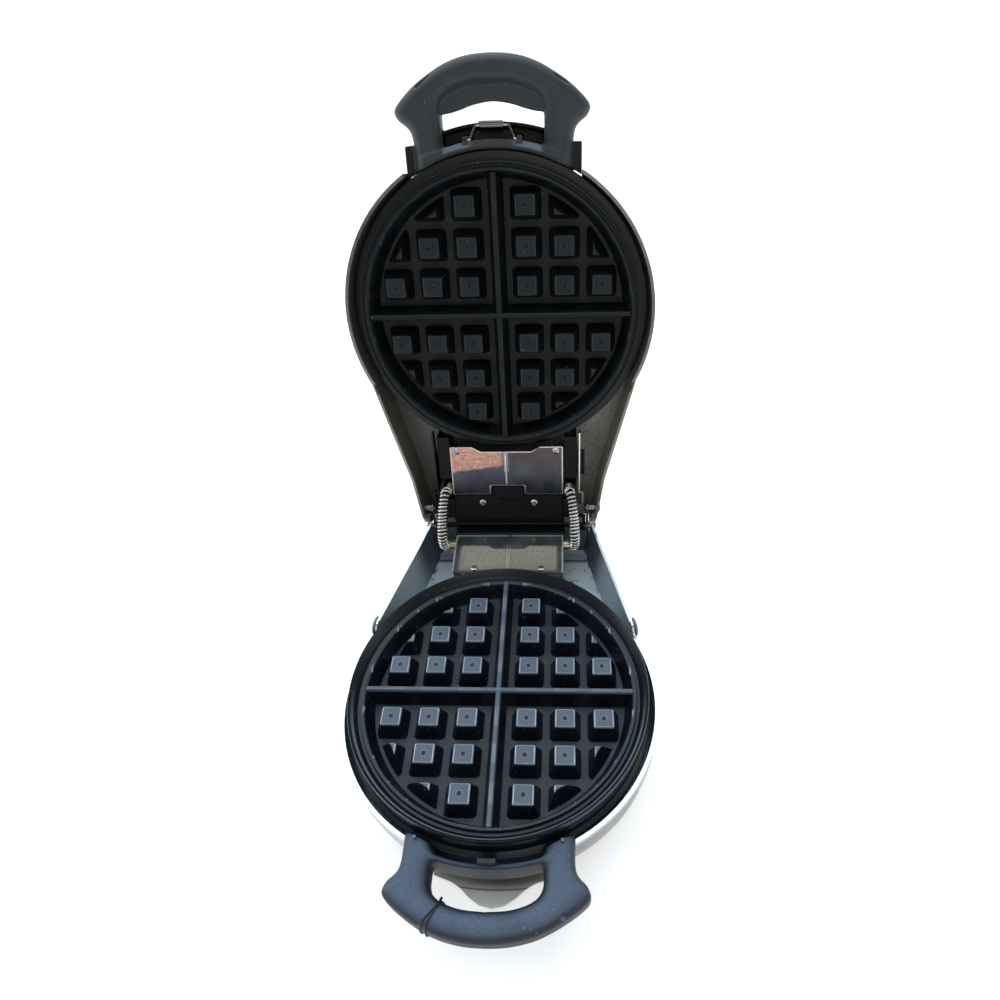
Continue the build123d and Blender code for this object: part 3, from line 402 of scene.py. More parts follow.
def paint_low_floor(nt, v, base, n1):
    """Floor of the lower ears: scuffed, with brown marks at the step in front of the back wall and a painted highlight
    line along the step's edge.
    """
    x, y, z = sepxyz(nt, scaled(nt, v, 1000.0))
    st = mul(nt, ss(nt, y, 144.5, 147.0), ss(nt, y, 156.0, 153.0))
    c = mix(nt, mathn(nt, "MULTIPLY", st, 0.55), base, (0.10, 0.085, 0.06))
    # painted highlight: a thin pale line along the step's edge
    ln = mul(nt, ss(nt, y, 146.4, 147.2), ss(nt, y, 148.6, 147.8))
    c = mix(nt, mathn(nt, "MULTIPLY", ln, 0.7), c, (0.42, 0.40, 0.34))
    blot = mul(nt, rng(nt, noise(nt, v, 130, 4, 0.6), 0.60, 0.66, 0, 0.9), ss(nt, y, 105.0, 128.0))
    return mix(nt, blot, c, (0.05, 0.06, 0.08))


def paint_up_side(nt, v, base, n1):
    """Inside of the lid's ears: painted shade, darker on the -x side than the +x side."""
    x, y, z = sepxyz(nt, scaled(nt, v, 1000.0))
    # painted shade on the -x side
    return mix(nt, rng(nt, ss(nt, x, 20.0, -20.0), 0, 1, 0.0, 0.62), base, (0.075, 0.077, 0.074))


def paint_bracket_up(nt, v, base, n1):
    """Polished steel with a painted reflection: straw to pink over the corner next to the cooking plate and a red-brown
    patch right of the rib, grey elsewhere; painted highlights along the edges, notch and centre rib.
    """
    x, y, z = sepxyz(nt, scaled(nt, v, 1000.0))
    line = mathn(nt, "SUBTRACT", y, mathn(nt, "ADD", mathn(nt, "MULTIPLY", x, 0.161), -115.4))
    line = mathn(nt, "ADD", line, rng(nt, noise(nt, v, 90, 3), 0.3, 0.7, -1.2, 1.2))
    # painted reflection: straw to pink patch over the corner next to the cooking plate
    pink = mul(nt, ss(nt, x, -1.6, -5.5), ss(nt, line, -1.6, 1.6), ss(nt, z, -1.2, -0.4))
    pc = mix(nt, rng(nt, noise(nt, v, 420, 3, 0.6), 0.35, 0.65, 0, 1), (0.31, 0.158, 0.118), (0.52, 0.285, 0.215))
    # painted reflection: red-brown patch right of the rib towards the top
    warm = mul(nt, ss(nt, x, 2.0, 6.0), ss(nt, y, -119.0, -104.5))
    c = mix(nt, mathn(nt, "MULTIPLY", warm, 0.55), base, (0.085, 0.040, 0.036))
    haze = rng(nt, noise(nt, v, 50, 4, 0.6), 0.45, 0.75, 0, 0.5)
    c = mix(nt, haze, c, (0.10, 0.10, 0.115))
    dk = mul(nt, ss(nt, absx(nt, mathn(nt, "SUBTRACT", x, 32.8)), 5.0, 2.5), ss(nt, y, -128.0, -133.0))
    c = mix(nt, mathn(nt, "MULTIPLY", dk, 0.6), c, (0.02, 0.024, 0.034))
    c = mix(nt, mathn(nt, "MULTIPLY", pink, 0.93), c, pc)
    # painted highlights along the edges, notch and centre rib
    ax = absx(nt, x)
    ln = ss(nt, ax, 42.9, 43.4)
    top_ = mathn(nt, "ADD", -104.6, mathn(nt, "MULTIPLY", ss(nt, absx(nt, mathn(nt, "ADD", x, 0.6)), 19.4, 26.6), 4.0))
    ln = mathn(nt, "MAXIMUM", ln, ss(nt, mathn(nt, "SUBTRACT", y, top_), -1.1, -0.5))
    bot = mathn(nt, "ADD", -142.0, mathn(nt, "MULTIPLY", ss(nt, ax, 14.4, 13.6), 7.8))
    ln = mathn(nt, "MAXIMUM", ln, ss(nt, mathn(nt, "SUBTRACT", y, bot), 0.9, 0.4))
    ln = mathn(nt, "MAXIMUM", ln, mul(nt, ss(nt, absx(nt, mathn(nt, "SUBTRACT", ax, 13.9)), 0.8, 0.4), ss(nt, y, -133.6, -134.6)))
    rib = mul(nt, ss(nt, absx(nt, mathn(nt, "ADD", x, 0.7)), 0.75, 0.35), ss(nt, y, -134.0, -132.0))
    ln = mathn(nt, "MAXIMUM", ln, rib)
    return mix(nt, mathn(nt, "MULTIPLY", ln, rng(nt, noise(nt, v, 140, 3), 0.3, 0.6, 0.45, 0.95)), c, (0.55, 0.54, 0.52))


def paint_bracket_low(nt, v, base, n1):
    # Painted reflection on the polished plate: a speckled beige patch over its front part, paler towards the cooking
    # plate, dark grey beyond; painted highlights along the side edges, the centre rib and the back edge.
    x, y, z = sepxyz(nt, scaled(nt, v, 1000.0))
    spk = rng(nt, noise(nt, v, 380, 4, 0.65), 0.35, 0.7, 0, 1)
    beige = mix(nt, spk, (0.33, 0.315, 0.24), (0.47, 0.45, 0.345))
    yy = mathn(nt, "ADD", y, mathn(nt, "MULTIPLY", ss(nt, absx(nt, x), 17.0, 12.0), 3.2))
    yy = mathn(nt, "ADD", yy, rng(nt, noise(nt, v, 120, 3), 0.3, 0.7, -0.5, 0.5))
    m1 = mul(nt, ss(nt, yy, 131.2, 129.8), ss(nt, absx(nt, x), 40.5, 37.0), ss(nt, y, 103.0, 107.5))
    dark = mix(nt, rng(nt, noise(nt, v, 60, 5), 0.35, 0.65, 0, 1), (0.055, 0.058, 0.058), (0.105, 0.108, 0.108))
    c = mix(nt, m1, dark, beige)
    lo = mul(nt, ss(nt, y, 128.0, 118.0), m1)
    c = mix(nt, mathn(nt, "MULTIPLY", lo, 0.25), c, (0.22, 0.21, 0.175))
    # painted highlights along the edges and centre rib
    ln = mathn(nt, "MAXIMUM", ss(nt, absx(nt, x), 42.6, 43.2), mul(nt, ss(nt, absx(nt, mathn(nt, "SUBTRACT", absx(nt, x), 1.0)), 0.5, 0.2), ss(nt, z, -0.2, 0.3)))
    ln = mathn(nt, "MAXIMUM", ln, mul(nt, ss(nt, y, 142.0, 142.6), ss(nt, z, -4.0, -3.0)))
    return mix(nt, mathn(nt, "MULTIPLY", ln, 0.75), c, (0.62, 0.61, 0.57))


def paint_tongue(nt, v, base, n1):
    x, y, z = sepxyz(nt, scaled(nt, v, 1000.0))
    yy = mathn(nt, "ADD", y, mathn(nt, "MULTIPLY", mul(nt, x, x), -0.0030))
    cre = mul(nt, ss(nt, yy, -113.9, -113.1), ss(nt, yy, -112.0, -112.8))
    c = mix(nt, mathn(nt, "MULTIPLY", cre, 0.75), base, (0.12, 0.105, 0.08))
    edge_ = ss(nt, y, -121.0, -123.0)
    return mix(nt, mathn(nt, "MULTIPLY", edge_, 0.3), c, (0.5, 0.5, 0.5))


MAT = {}
# the same coating on both plates: the lower plate's tones painted with pale blue sky highlights, the lid's plate
# painted as a darker copy in shade
MAT["low_plate"] = m_plate("low_plate_coating", M_LOW, (0.0032, 0.0062, 0.0108), (0.010, 0.016, 0.024), (0.080, 0.106, 0.144), (0.48, 0.54, 0.61),
                           (0.085, 0.105, 0.13), (0.010, 0.014, 0.020), (0.0040, 0.0070, 0.0110), 0.34, 0.18, glint=1.0)
MAT["up_plate"] = m_plate("up_plate_coating", M_LID, (0.0034, 0.0048, 0.0056), (0.0090, 0.0112, 0.0124), (0.0105, 0.0132, 0.0145), (0.040, 0.045, 0.048),
                          (0.0030, 0.0042, 0.0050), (0.014, 0.017, 0.019), (0.0060, 0.0076, 0.0084), 0.38, 0.10, spec=0.24)
# the lower trim ring and lower handle plastics are blue-tinted copies of the lid's, the blue a painted sky reflection
MAT["ring"] = m_plastic("ring_plastic", (0.0036, 0.0066, 0.0108), 0.32, M_LOW, film=0.05, dust=(0.045, 0.055, 0.065), spec=0.40, dots=0.05)
MAT["ring_up"] = m_plastic("ring_up_plastic", (0.0050, 0.0058, 0.0062), 0.38, M_LID, film=0.08, dust=(0.06, 0.06, 0.06), spec=0.35, dots=0.06)
MAT["handle_low"] = m_plastic("handle_low_plastic", (0.020, 0.027, 0.038), 0.46, M_LOW, grain=1100, film=0.10, dust=(0.12, 0.14, 0.17), spec=0.24, dots=0.14, paint=paint_grip_low)
MAT["handle_up"] = m_plastic("handle_up_plastic", (0.018, 0.022, 0.024), 0.48, M_LID, grain=1100, film=0.08, dust=(0.10, 0.12, 0.12), spec=0.45, dots=0.03, sheen=0.2, paint=paint_grip_up)
MAT["cover"] = m_plastic("cover_plastic", (0.0048, 0.0052, 0.0060), 0.42, M_LID, film=0.12, dust=(0.04, 0.04, 0.04), spec=0.22, dots=0.12)
MAT["cover_low"] = m_plastic("cover_low_plastic", (0.0035, 0.0042, 0.0052), 0.45, M_LOW, film=0.10, dust=(0.04, 0.04, 0.04), spec=0.25, dots=0.08)
MAT["guard"] = m_plastic("guard_plastic", (0.0035, 0.0038, 0.0042), 0.48, M_LID, film=0.08, dust=(0.04, 0.04, 0.04), spec=0.25)
# one steel in copies by face direction: the lower shell's ear floors and rim painted pale blue as a sky reflection, its
# inner walls a bluish copy; the lid's walls, floors and rim darker copies
MAT["shell_low"] = m_steel("shell_low_steel", (0.60, 0.62, 0.65), 0.24, 0.15, (0.30, 0.27, 0.22), None, M_LOW, 0.2, paint=paint_low_outer)
MAT["shell_low_wall"] = m_steel("shell_low_wall_steel", (0.50, 0.575, 0.64), 0.42, 0.25, (0.30, 0.32, 0.31), (1.0, 1.0, 0.1), M_LOW, 0.25, paint=paint_low_wall, metal=0.4)
MAT["shell_low_floor"] = m_steel("shell_low_floor_steel", (0.80, 0.93, 1.0), 0.42, 0.25, (0.45, 0.52, 0.58), (0.2, 1.0, 1.0), M_LOW, 0.25, paint=paint_low_floor, metal=0.1)
MAT["lug"] = m_steel("lug_steel", (0.20, 0.185, 0.185), 0.34, 0.35, (0.10, 0.08, 0.07), None, M_LOW)
MAT["rim_low"] = m_steel("rim_low_steel", (0.70, 0.78, 0.82), 0.26, 0.15, (0.30, 0.27, 0.22), None, M_LOW)
MAT["shell_up"] = m_steel("shell_up_steel", (0.46, 0.455, 0.43), 0.26, 0.35, (0.20, 0.17, 0.11), (0.1, 1.0, 1.0), M_LID, 0.3)
MAT["shell_up_wall"] = m_steel("shell_up_wall_steel", (0.46, 0.44, 0.36), 0.36, 0.5, (0.16, 0.14, 0.09), (1.0, 0.15, 1.0), M_LID, 0.8, paint=paint_up_side, metal=0.5)
MAT["shell_up_floor"] = m_steel("shell_up_floor_steel", (0.24, 0.236, 0.205), 0.40, 0.5, (0.11, 0.095, 0.065), None, M_LID, 0.9, paint=paint_up_side, metal=0.5)
MAT["rim_up"] = m_steel("rim_up_steel", (0.28, 0.27, 0.235), 0.28, 0.5, (0.10, 0.08, 0.04), None, M_LID, 0.3)
MAT["base"] = m_steel("base_steel", (0.60, 0.575, 0.52), 0.46, 0.25, (0.20, 0.18, 0.14), None, M_LOW, paint=paint_tongue)
MAT["bracket_up"] = m_steel("bracket_up_steel", (0.062, 0.062, 0.068), 0.16, 0.0, (0.45, 0.30, 0.22), (1.0, 0.2, 1.0), M_LID, 0.0, 0.2, paint=paint_bracket_up)
# bracket_edge and bracket_low_edge: pale copies of the bracket steel for the bevel faces, painted highlights along the
# brackets' edges
MAT["bracket_edge"] = m_steel("bracket_edge_steel", (0.52, 0.50, 0.48), 0.22, 0.2, (0.30, 0.26, 0.20), None, M_LID)
MAT["bracket_low"] = m_steel("bracket_low_steel", (0.10, 0.10, 0.09), 0.20, 0.0, (0.42, 0.36, 0.24), None, M_LOW, 0.0, 0.2, paint=paint_bracket_low, metal=0.3)
MAT["bracket_low_edge"] = m_steel("bracket_low_edge_steel", (0.66, 0.65, 0.62), 0.24, 0.2, (0.36, 0.32, 0.24), None, M_LOW)
MAT["screw"] = m_steel("screw_steel", (0.50, 0.49, 0.46), 0.24, 0.3, (0.16, 0.13, 0.08))
MAT["link"] = m_steel("link_steel", (0.17, 0.167, 0.155), 0.30, 0.5, (0.10, 0.08, 0.05), speckle=0.4)
MAT["rivet"] = m_steel("rivet_steel", (0.24, 0.235, 0.22), 0.30, 0.45, (0.08, 0.065, 0.045))
MAT["clip"] = m_steel("clip_steel", (0.40, 0.375, 0.33), 0.34, 0.3, (0.22, 0.19, 0.14))
MAT["bail"] = m_steel("bail_steel", (0.62, 0.62, 0.60), 0.22, 0.1, (0.3, 0.27, 0.2))
MAT["strike"] = m_steel("strike_steel", (0.010, 0.012, 0.015), 0.48, 0.2, (0.02, 0.02, 0.02), metal=0.2)
MAT["pin"] = m_steel("pin_steel", (0.10, 0.115, 0.13), 0.34, 0.2, (0.05, 0.05, 0.05))
MAT["coil"] = m_steel("coil_steel", (0.66, 0.65, 0.61), 0.20, 0.45, (0.30, 0.26, 0.19))
MAT["collar"] = m_steel("collar_brass", (0.42, 0.335, 0.215), 0.30, 0.6, (0.16, 0.10, 0.05))
MAT["strap"] = m_steel("strap_steel", (0.72, 0.71, 0.69), 0.2, 0.1)
# near-black copy of the strap steel: painted shade on the left strap and the straps' lower ends
MAT["strap_painted_shade"] = m_steel("strap_painted_shade_steel", (0.018, 0.018, 0.019), 0.35, 0.2, (0.03, 0.03, 0.03), metal=0.7)
MAT["reflector"] = m_steel("reflector_alu", (0.75, 0.75, 0.76), 0.3, 0.2, (0.4, 0.36, 0.3))
MAT["element"] = m_steel("element_sheath", (0.30, 0.29, 0.28), 0.5, 0.5, (0.12, 0.09, 0.07))
MAT["control"] = m_plastic("control_plastic", (0.10, 0.08, 0.06), 0.4)
MAT["ceramic"] = m_plastic("ceramic_glaze", (0.75, 0.73, 0.68), 0.25, film=0.05)
MAT["rubber"] = m_plastic("foot_rubber", (0.02, 0.02, 0.02), 0.75, grain=900)
MAT["gland"] = m_plastic("gland_plastic", (0.02, 0.02, 0.02), 0.45)
MAT["tie"] = m_plastic("tie_wire_coat", (0.006, 0.007, 0.009), 0.35, grain=2500, film=0.1)


def m_lamp():
    m, nt, b = new_mat("lamp_lens")
    v = tex_coord(nt)
    n1 = noise(nt, v, 600, 3)
    nt.links.new(mix(nt, n1, (0.35, 0.01, 0.008), (0.55, 0.03, 0.02)), b.inputs["Base Color"])
    b.inputs["Roughness"].default_value = 0.12
    b.inputs["Transmission Weight"].default_value = 0.35
    b.inputs["Coat Weight"].default_value = 0.5
    bump(nt, b, [(n1, 0.0001, 0.2)])
    return m


MAT["lamp"] = m_lamp()

USE = {
    "lower_plate": ["low_plate"], "upper_plate": ["up_plate"], "lower_trim_ring": ["ring"], "upper_trim_ring": ["ring_up"],
    "lower_handle": ["handle_low"], "upper_handle": ["handle_up"], "hinge_cover": ["cover"], "hinge_side_guards": ["guard"],
    "rear_wiring_cover": ["cover_low"],
    "lower_shell": ["shell_low", "shell_low_wall", "shell_low_floor", "rim_low"],
    "upper_shell": ["shell_up", "shell_up_wall", "shell_up_floor", "rim_up"],
    "base_pan": ["base"], "upper_bracket": ["bracket_up", "bracket_edge"], "lower_bracket": ["bracket_low", "bracket_low_edge"],
    "lid_side_straps": ["strap", "strap_painted_shade"], "hinge_links": ["link"], "latch_strike": ["strike"], "latch_wire": ["bail"], "latch_clip": ["clip"],
    "locating_pins": ["pin"], "lower_hinge_rivets": ["rivet"], "upper_hinge_rivets": ["rivet"], "left_conduit": ["coil"], "right_conduit": ["coil"],
    "upper_lead_fittings": ["guard"], "lower_lead_fittings": ["collar"], "terminal_block": ["ceramic"], "cord_gland": ["gland"],
    "indicator_lamp": ["lamp"], "rubber_feet": ["rubber"], "lower_heating_element": ["element"], "upper_heating_element": ["element"],
    "lower_heat_reflector": ["reflector"], "upper_heat_reflector": ["reflector"], "thermostat": ["control"], "thermal_fuse": ["control"],
}
for name, ob in N.items():
    ob.data.materials.clear()
    for key in USE.get(name, ["screw"]):
        ob.data.materials.append(MAT[key])
    for p in ob.data.polygons:
        p.material_index = 0


def face_slots(name, matrix, pick):
    """Material index of each face from its middle and its normal, both in the given coordinates (mm)."""
    if name not in N:
        return
    inv = matrix.inverted()
    rot = inv.to_3x3()
    for p in N[name].data.polygons:
        p.material_index = pick(inv @ p.center * 1000.0, rot @ p.normal)


# slots by face direction: 3 the rim top, 2 up-facing floors, 1 inward-facing walls, 0 the outside and down-facing
# faces; the lower floor and rim copies carry a painted sky reflection
def shell_slot(rim_z, ear_z, ear_y):
    def pick(c, n):
        rad = math.hypot(c.x, c.y)
        nr = (c.x * n.x + c.y * n.y) / max(rad, 1e-6)
        at_rim = c.z > (ear_z if abs(c.y) > ear_y and (c.y > 0) == (ear_y_sign > 0) else rim_z) - 1.3
        if n.z > 0.8 and at_rim:
            return 3
        if n.z > 0.5:
            return 2
        if n.z < -0.35:
            return 0
        return 1 if nr < -0.05 else 0
    ear_y_sign = 1 if rim_z < -5 else -1
    return pick


face_slots("lower_shell", M_LOW, shell_slot(-10.0, -0.6, 56.0))
face_slots("upper_shell", M_LID, shell_slot(2.0, 0.0, 50.0))
# painted shade: the left strap and the straps' lower ends take the near-black copy
face_slots("lid_side_straps", M_LID, lambda c, n: 1 if c.x < 0 or c.z < -11 else 0)


def soften(name, width, angle=35, seg=2, slot=-1):
    if name not in N:
        return
    ob = N[name]
    wd_ = ob.modifiers.new("join", "WELD")
    wd_.merge_threshold = 0.00001
    bv = ob.modifiers.new("edge", "BEVEL")
    bv.width = width
    bv.segments = seg
    bv.limit_method = "ANGLE"
    bv.angle_limit = math.radians(angle)
    bv.harden_normals = False
    bv.use_clamp_overlap = True
    bv.material = slot



# ------------------------------------------------------------------ modelled forms from signed distances
import numpy as np


def surface_nets(F, org, h):
    """Quad mesh of the zero level of F (negative inside) on a regular grid, in the grid's own units."""
    nx, ny, nz = F.shape
    c = (nx - 1, ny - 1, nz - 1)
    acc = np.zeros(c + (3,))
    cnt = np.zeros(c)
    corners = [(i, j, k) for i in (0, 1) for j in (0, 1) for k in (0, 1)]

    def at(o):
        return F[o[0]:o[0] + c[0], o[1]:o[1] + c[1], o[2]:o[2] + c[2]]
    for a in corners:
        for b_ in corners:
            dlt = [b_[q] - a[q] for q in range(3)]
            if sorted(dlt) != [0, 0, 1]:
                continue
            fa, fb = at(a), at(b_)
            cross = (fa < 0) != (fb < 0)
            t = np.where(cross, fa / np.where(cross, fa - fb, 1.0), 0.0)
            for q in range(3):
                acc[..., q] += np.where(cross, a[q] + t * dlt[q], 0.0)
            cnt += cross
    act = cnt > 0
    idx = -np.ones(c, dtype=np.int64)
    idx[act] = np.arange(act.sum())
    ijk = np.argwhere(act)
    verts = (ijk + acc[act] / cnt[act][:, None]) * h + np.array(org)
    quads = []
    s0 = F < 0
    for ax in range(3):
        u, w = [(1, 2), (2, 0), (0, 1)][ax]
        sl0 = [slice(None)] * 3
        sl1 = [slice(None)] * 3
        sl0[ax] = slice(0, F.shape[ax] - 1)
        sl1[ax] = slice(1, F.shape[ax])
        a, b_ = s0[tuple(sl0)], s0[tuple(sl1)]
        e = np.argwhere(a != b_)
        keep = (e[:, u] > 0) & (e[:, w] > 0) & (e[:, u] < F.shape[u] - 1) & (e[:, w] < F.shape[w] - 1)
        e = e[keep]
        ins = a[e[:, 0], e[:, 1], e[:, 2]]

        def cell(du, dw):
            q = e.copy()
            q[:, u] += du
            q[:, w] += dw
            return idx[q[:, 0], q[:, 1], q[:, 2]]
        q = np.stack([cell(-1, -1), cell(0, -1), cell(0, 0), cell(-1, 0)], axis=1)
        q[~ins] = q[~ins][:, ::-1]
        quads.append(q)
    quads = np.concatenate(quads)
    quads = quads[(quads >= 0).all(axis=1)]
    return verts, quads


def mesh_object(name, verts_mm, faces, matrix, mats, smooth=True, pick=None):
    me = bpy.data.meshes.new(name)
    vv = [matrix @ Vector((v[0] / 1000, v[1] / 1000, v[2] / 1000)) for v in verts_mm]
    me.from_pydata(vv, [], [tuple(int(i) for i in q) for q in faces])
    me.validate()
    for mt in mats:
        me.materials.append(mt)
    if smooth:
        me.polygons.foreach_set("use_smooth", [True] * len(me.polygons))
    if pick is not None:
        vm = np.asarray(verts_mm)
        fc = vm[np.asarray(faces)].mean(axis=1)
        k = pick(fc)
        if len(k) == len(me.polygons):
            me.polygons.foreach_set("material_index", k.astype(int).tolist())
    me.update()
    ob = bpy.data.objects.new(name, me)
    scene.collection.objects.link(ob)
    return ob


def sd_poly(X, Y, pts):
    """Signed distance in the plane to a closed polygon."""
    P = np.asarray(pts, float)
    dmin = np.full(X.shape, 1e9)
    inside = np.zeros(X.shape, bool)
    n = len(P)
    for i in range(n):
        a, b_ = P[i], P[(i + 1) % n]
        e = b_ - a
        wx, wy = X - a[0], Y - a[1]
        t = np.clip((wx * e[0] + wy * e[1]) / (e @ e + 1e-12), 0, 1)
        dx, dy = wx - t * e[0], wy - t * e[1]
        dmin = np.minimum(dmin, dx * dx + dy * dy)
        c1 = (a[1] <= Y) & (b_[1] > Y)
        c2 = (a[1] > Y) & (b_[1] <= Y)
        cr = e[0] * wy - e[1] * wx
        inside ^= (c1 & (cr > 0)) | (c2 & (cr < 0))
    dd = np.sqrt(dmin)
    return np.where(inside, -dd, dd)


def rounded(d2, Z, z0, z1, r):
    h = (z1 - z0) / 2
    a = d2 + r
    b_ = np.abs(Z - (z0 + z1) / 2) - h + r
    return np.minimum(np.maximum(a, b_), 0) + np.hypot(np.maximum(a, 0), np.maximum(b_, 0)) - r


def smin(a, b_, k):
    h = np.clip(0.5 + 0.5 * (b_ - a) / k, 0, 1)
    return b_ * (1 - h) + a * h - k * h * (1 - h)


def smax(a, b_, k):
    return -smin(-a, -b_, k)


def chaikin(pts, n=3):
    P = [tuple(p) for p in pts]
    for _ in range(n):
        Q = []
        for i in range(len(P)):
            a, b_ = P[i], P[(i + 1) % len(P)]
            Q.append((0.75 * a[0] + 0.25 * b_[0], 0.75 * a[1] + 0.25 * b_[1]))
            Q.append((0.25 * a[0] + 0.75 * b_[0], 0.25 * a[1] + 0.75 * b_[1]))
        P = Q
    return P


def catmull(pts, n=6):
    """Smooth open curve through points (x, y)."""
    P = [np.array(p, float) for p in pts]
    P = [2 * P[0] - P[1]] + P + [2 * P[-1] - P[-2]]
    out = []
    for i in range(1, len(P) - 2):
        for j in range(n):
            t = j / n
            p0, p1, p2, p3 = P[i - 1], P[i], P[i + 1], P[i + 2]
            out.append(tuple(0.5 * ((2 * p1) + (-p0 + p2) * t + (2 * p0 - 5 * p1 + 4 * p2 - p3) * t * t + (-p0 + 3 * p1 - 3 * p2 + p3) * t ** 3)))
    out.append(tuple(P[-2]))
    return out


def grid(x0, x1, y0, y1, z0, z1, h):
    xs, ys, zs = np.arange(x0, x1, h), np.arange(y0, y1, h), np.arange(z0, z1, h)
    X, Y, Z = np.meshgrid(xs, ys, zs, indexing="ij")
    return X, Y, Z, (x0, y0, z0)


def loop_outline(outer, tip, leg, inner):
    """Closed outline of a loop handle from its right half."""
    right = catmull(outer + tip, 5) + leg + [q for q in reversed(catmull(inner, 5))]
    left = [(-x, y) for x, y in reversed(right)]
    return right + left


# lower handle
HL0, HL1 = -25.6, -2.6
lo_out = [(0, -151.8), (10, -151.4), (20, -149.8), (30, -147.0), (40, -142.4), (50, -136.5), (57.0, -131.4)]
lo_tip = [(60.6, -127.6), (60.8, -124.4), (58.8, -120.2), (55.4, -117.0), (53.0, -113.6), (52.0, -108.5)]
lo_leg = [(52.0, -84.0), (33.5, -84.0)]
lo_in = [(0, -135.2), (12, -134.4), (20, -132.6), (26.5, -130.0), (31.0, -126.4), (33.2, -121.4), (33.5, -115.0)]
half = loop_outline(lo_out, lo_tip, lo_leg, lo_in)
X, Y, Z, org = grid(-63.0, 63.0, -154.0, -88.0, -28.0, 0.4, 0.8)
d2 = sd_poly(X[:, :, 0], Y[:, :, 0], half)[:, :, None]
d = rounded(np.broadcast_to(d2, X.shape), Z, HL0, HL1, 8.2)
rr = np.hypot(X, Y)
dc = rounded(np.maximum(np.abs(rr - 112.3) - 1.45, np.abs(X) - 38.0), Z, HL0, -5.0, 1.2)
dc = np.where(Y < 0, dc, 50.0)
d = smin(d, dc, 5.0)
d = smax(d, 105.9 - rr, 1.0)
nub = np.sqrt(((X - 45.2) / 1.9) ** 2 + ((Y + 138.9) / 1.2) ** 2 + ((Z + 4.6) / 1.6) ** 2) * 1.3 - 1.3
d = smin(d, nub, 0.8)
LOG, LOO = d, org
v, q = surface_nets(d, org, 0.8)
H_LOW = mesh_object("lower_grip_moulding", v, q, M_LOW, [MAT["handle_low"]])
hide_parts("lower_handle")
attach(H_LOW, "base")

# upper handle with its web, root and latch pocket
HU0, HU1 = -30.0, -7.0
up_out = [(0, 157.0), (10, 156.5), (20, 154.8), (30, 151.4), (40, 146.2), (50, 139.8), (58.0, 132.8)]
up_tip = [(61.8, 128.4), (62.4, 125.0), (60.0, 121.0), (56.0, 118.0), (53.2, 114.5), (51.9, 109.0)]
up_leg = [(51.8, 84.0), (33.2, 84.0)]
up_in = [(0, 140.5), (12, 139.8), (20, 138.0), (27, 135.2), (31.4, 131.4), (33.0, 126.0), (33.2, 118.0)]
half = loop_outline(up_out, up_tip, up_leg, up_in)
X, Y, Z, org = grid(-65.0, 65.0, 82.5, 159.0, -31.4, -1.4, 0.75)
d2 = sd_poly(X[:, :, 0], Y[:, :, 0], half)[:, :, None]
d = rounded(np.broadcast_to(d2, X.shape), Z, HU0, HU1, 8.0)
web = catmull([(-36, 124.0), (-28, 124.8), (-20, 126.8), (-12, 129.2), (0, 130.8), (12, 129.2), (20, 126.8), (28, 124.8), (36, 124.0)], 5) + \
    [(36, 134.5), (27, 139.5), (12, 144.0), (-12, 144.0), (-27, 139.5), (-36, 134.5)]
dw = sd_poly(X[:, :, 0], Y[:, :, 0], web)[:, :, None]
d = smin(d, rounded(np.broadcast_to(dw, X.shape), Z, -25.5, -13.0, 1.6), 1.2)
rr = np.hypot(X, Y)
# root ring between the legs, its ledge and the latch pocket behind it
ledge = rounded(np.maximum(np.abs(rr - 107.3) - 2.7, np.abs(X) - 46.0), Z, -30.0, -5.0, 1.4)
d = smin(d, ledge, 4.0)
wall = rounded(np.maximum(np.abs(rr - 112.1) - 7.5, np.abs(X) - 35.5), Z, -30.0, -20.4, 0.8)
pocket = np.maximum(np.maximum(np.abs(rr - 113.2) - 4.2, np.abs(X) - 33.0), -(Z + 27.6))
wall = np.maximum(wall, -pocket)
d = smin(d, wall, 0.8)
lug = rounded(np.maximum(np.abs(np.abs(X) - 17.2) - 1.5, np.abs(Y - 108.6) - 3.0), Z, -29.0, -4.4, 0.8)
d = smin(d, lug, 0.8)
# sloping block behind the bail
blk = np.maximum(np.maximum(np.abs(X) - 12.6, 106.8 - Y), np.maximum(Y - 115.0, -28.4 - Z))
blk = smax(blk, ((Y - 107.2) * 0.755 + (Z + 9.6) * 0.656), 1.2)
d = smin(d, blk, 0.8)
# outer shoulders beside the legs, with a groove between
sh = rounded(np.maximum(np.abs(np.abs(X) - 53.9) - 3.4, np.abs(Y - 95.4) - 11.6), Z, -30.0, -9.0, 1.2)
sh = np.maximum(sh, 104.8 - rr)
d = smin(d, sh, 0.5)
fill = rounded(np.maximum(np.abs(rr - 102.0) - 3.0, np.abs(X) - 54.0), Z, -30.0, -10.8, 0.6)
fill = np.maximum(fill, 96.0 - Y * 1.06)
d = smin(d, fill, 0.4)
# the rim of the lid's trim ring sits in front of the root
d = np.maximum(d, np.where(Z > -10.6, 104.4 - rr, 99.0 - rr))
# parting marks where the grip's two halves meet on the shoulders
for (ax, ay), (bx_, by_) in (((-46.5, 139.6), (-38.2, 145.6)), ((40.0, 144.0), (48.6, 139.2))):
    ux, uy = bx_ - ax, by_ - ay
    ln = math.hypot(ux, uy)
    ux, uy = ux / ln, uy / ln
    tt = np.clip((X - ax) * ux + (Y - ay) * uy, 0, ln)
    cut = np.sqrt((X - ax - tt * ux) ** 2 + (Y - ay - tt * uy) ** 2 + ((Z + 10.2) * 0.45) ** 2) - 0.65
    d = smax(d, -cut, 0.5)
UPG, UPO = d, org
v, q = surface_nets(d, org, 0.75)


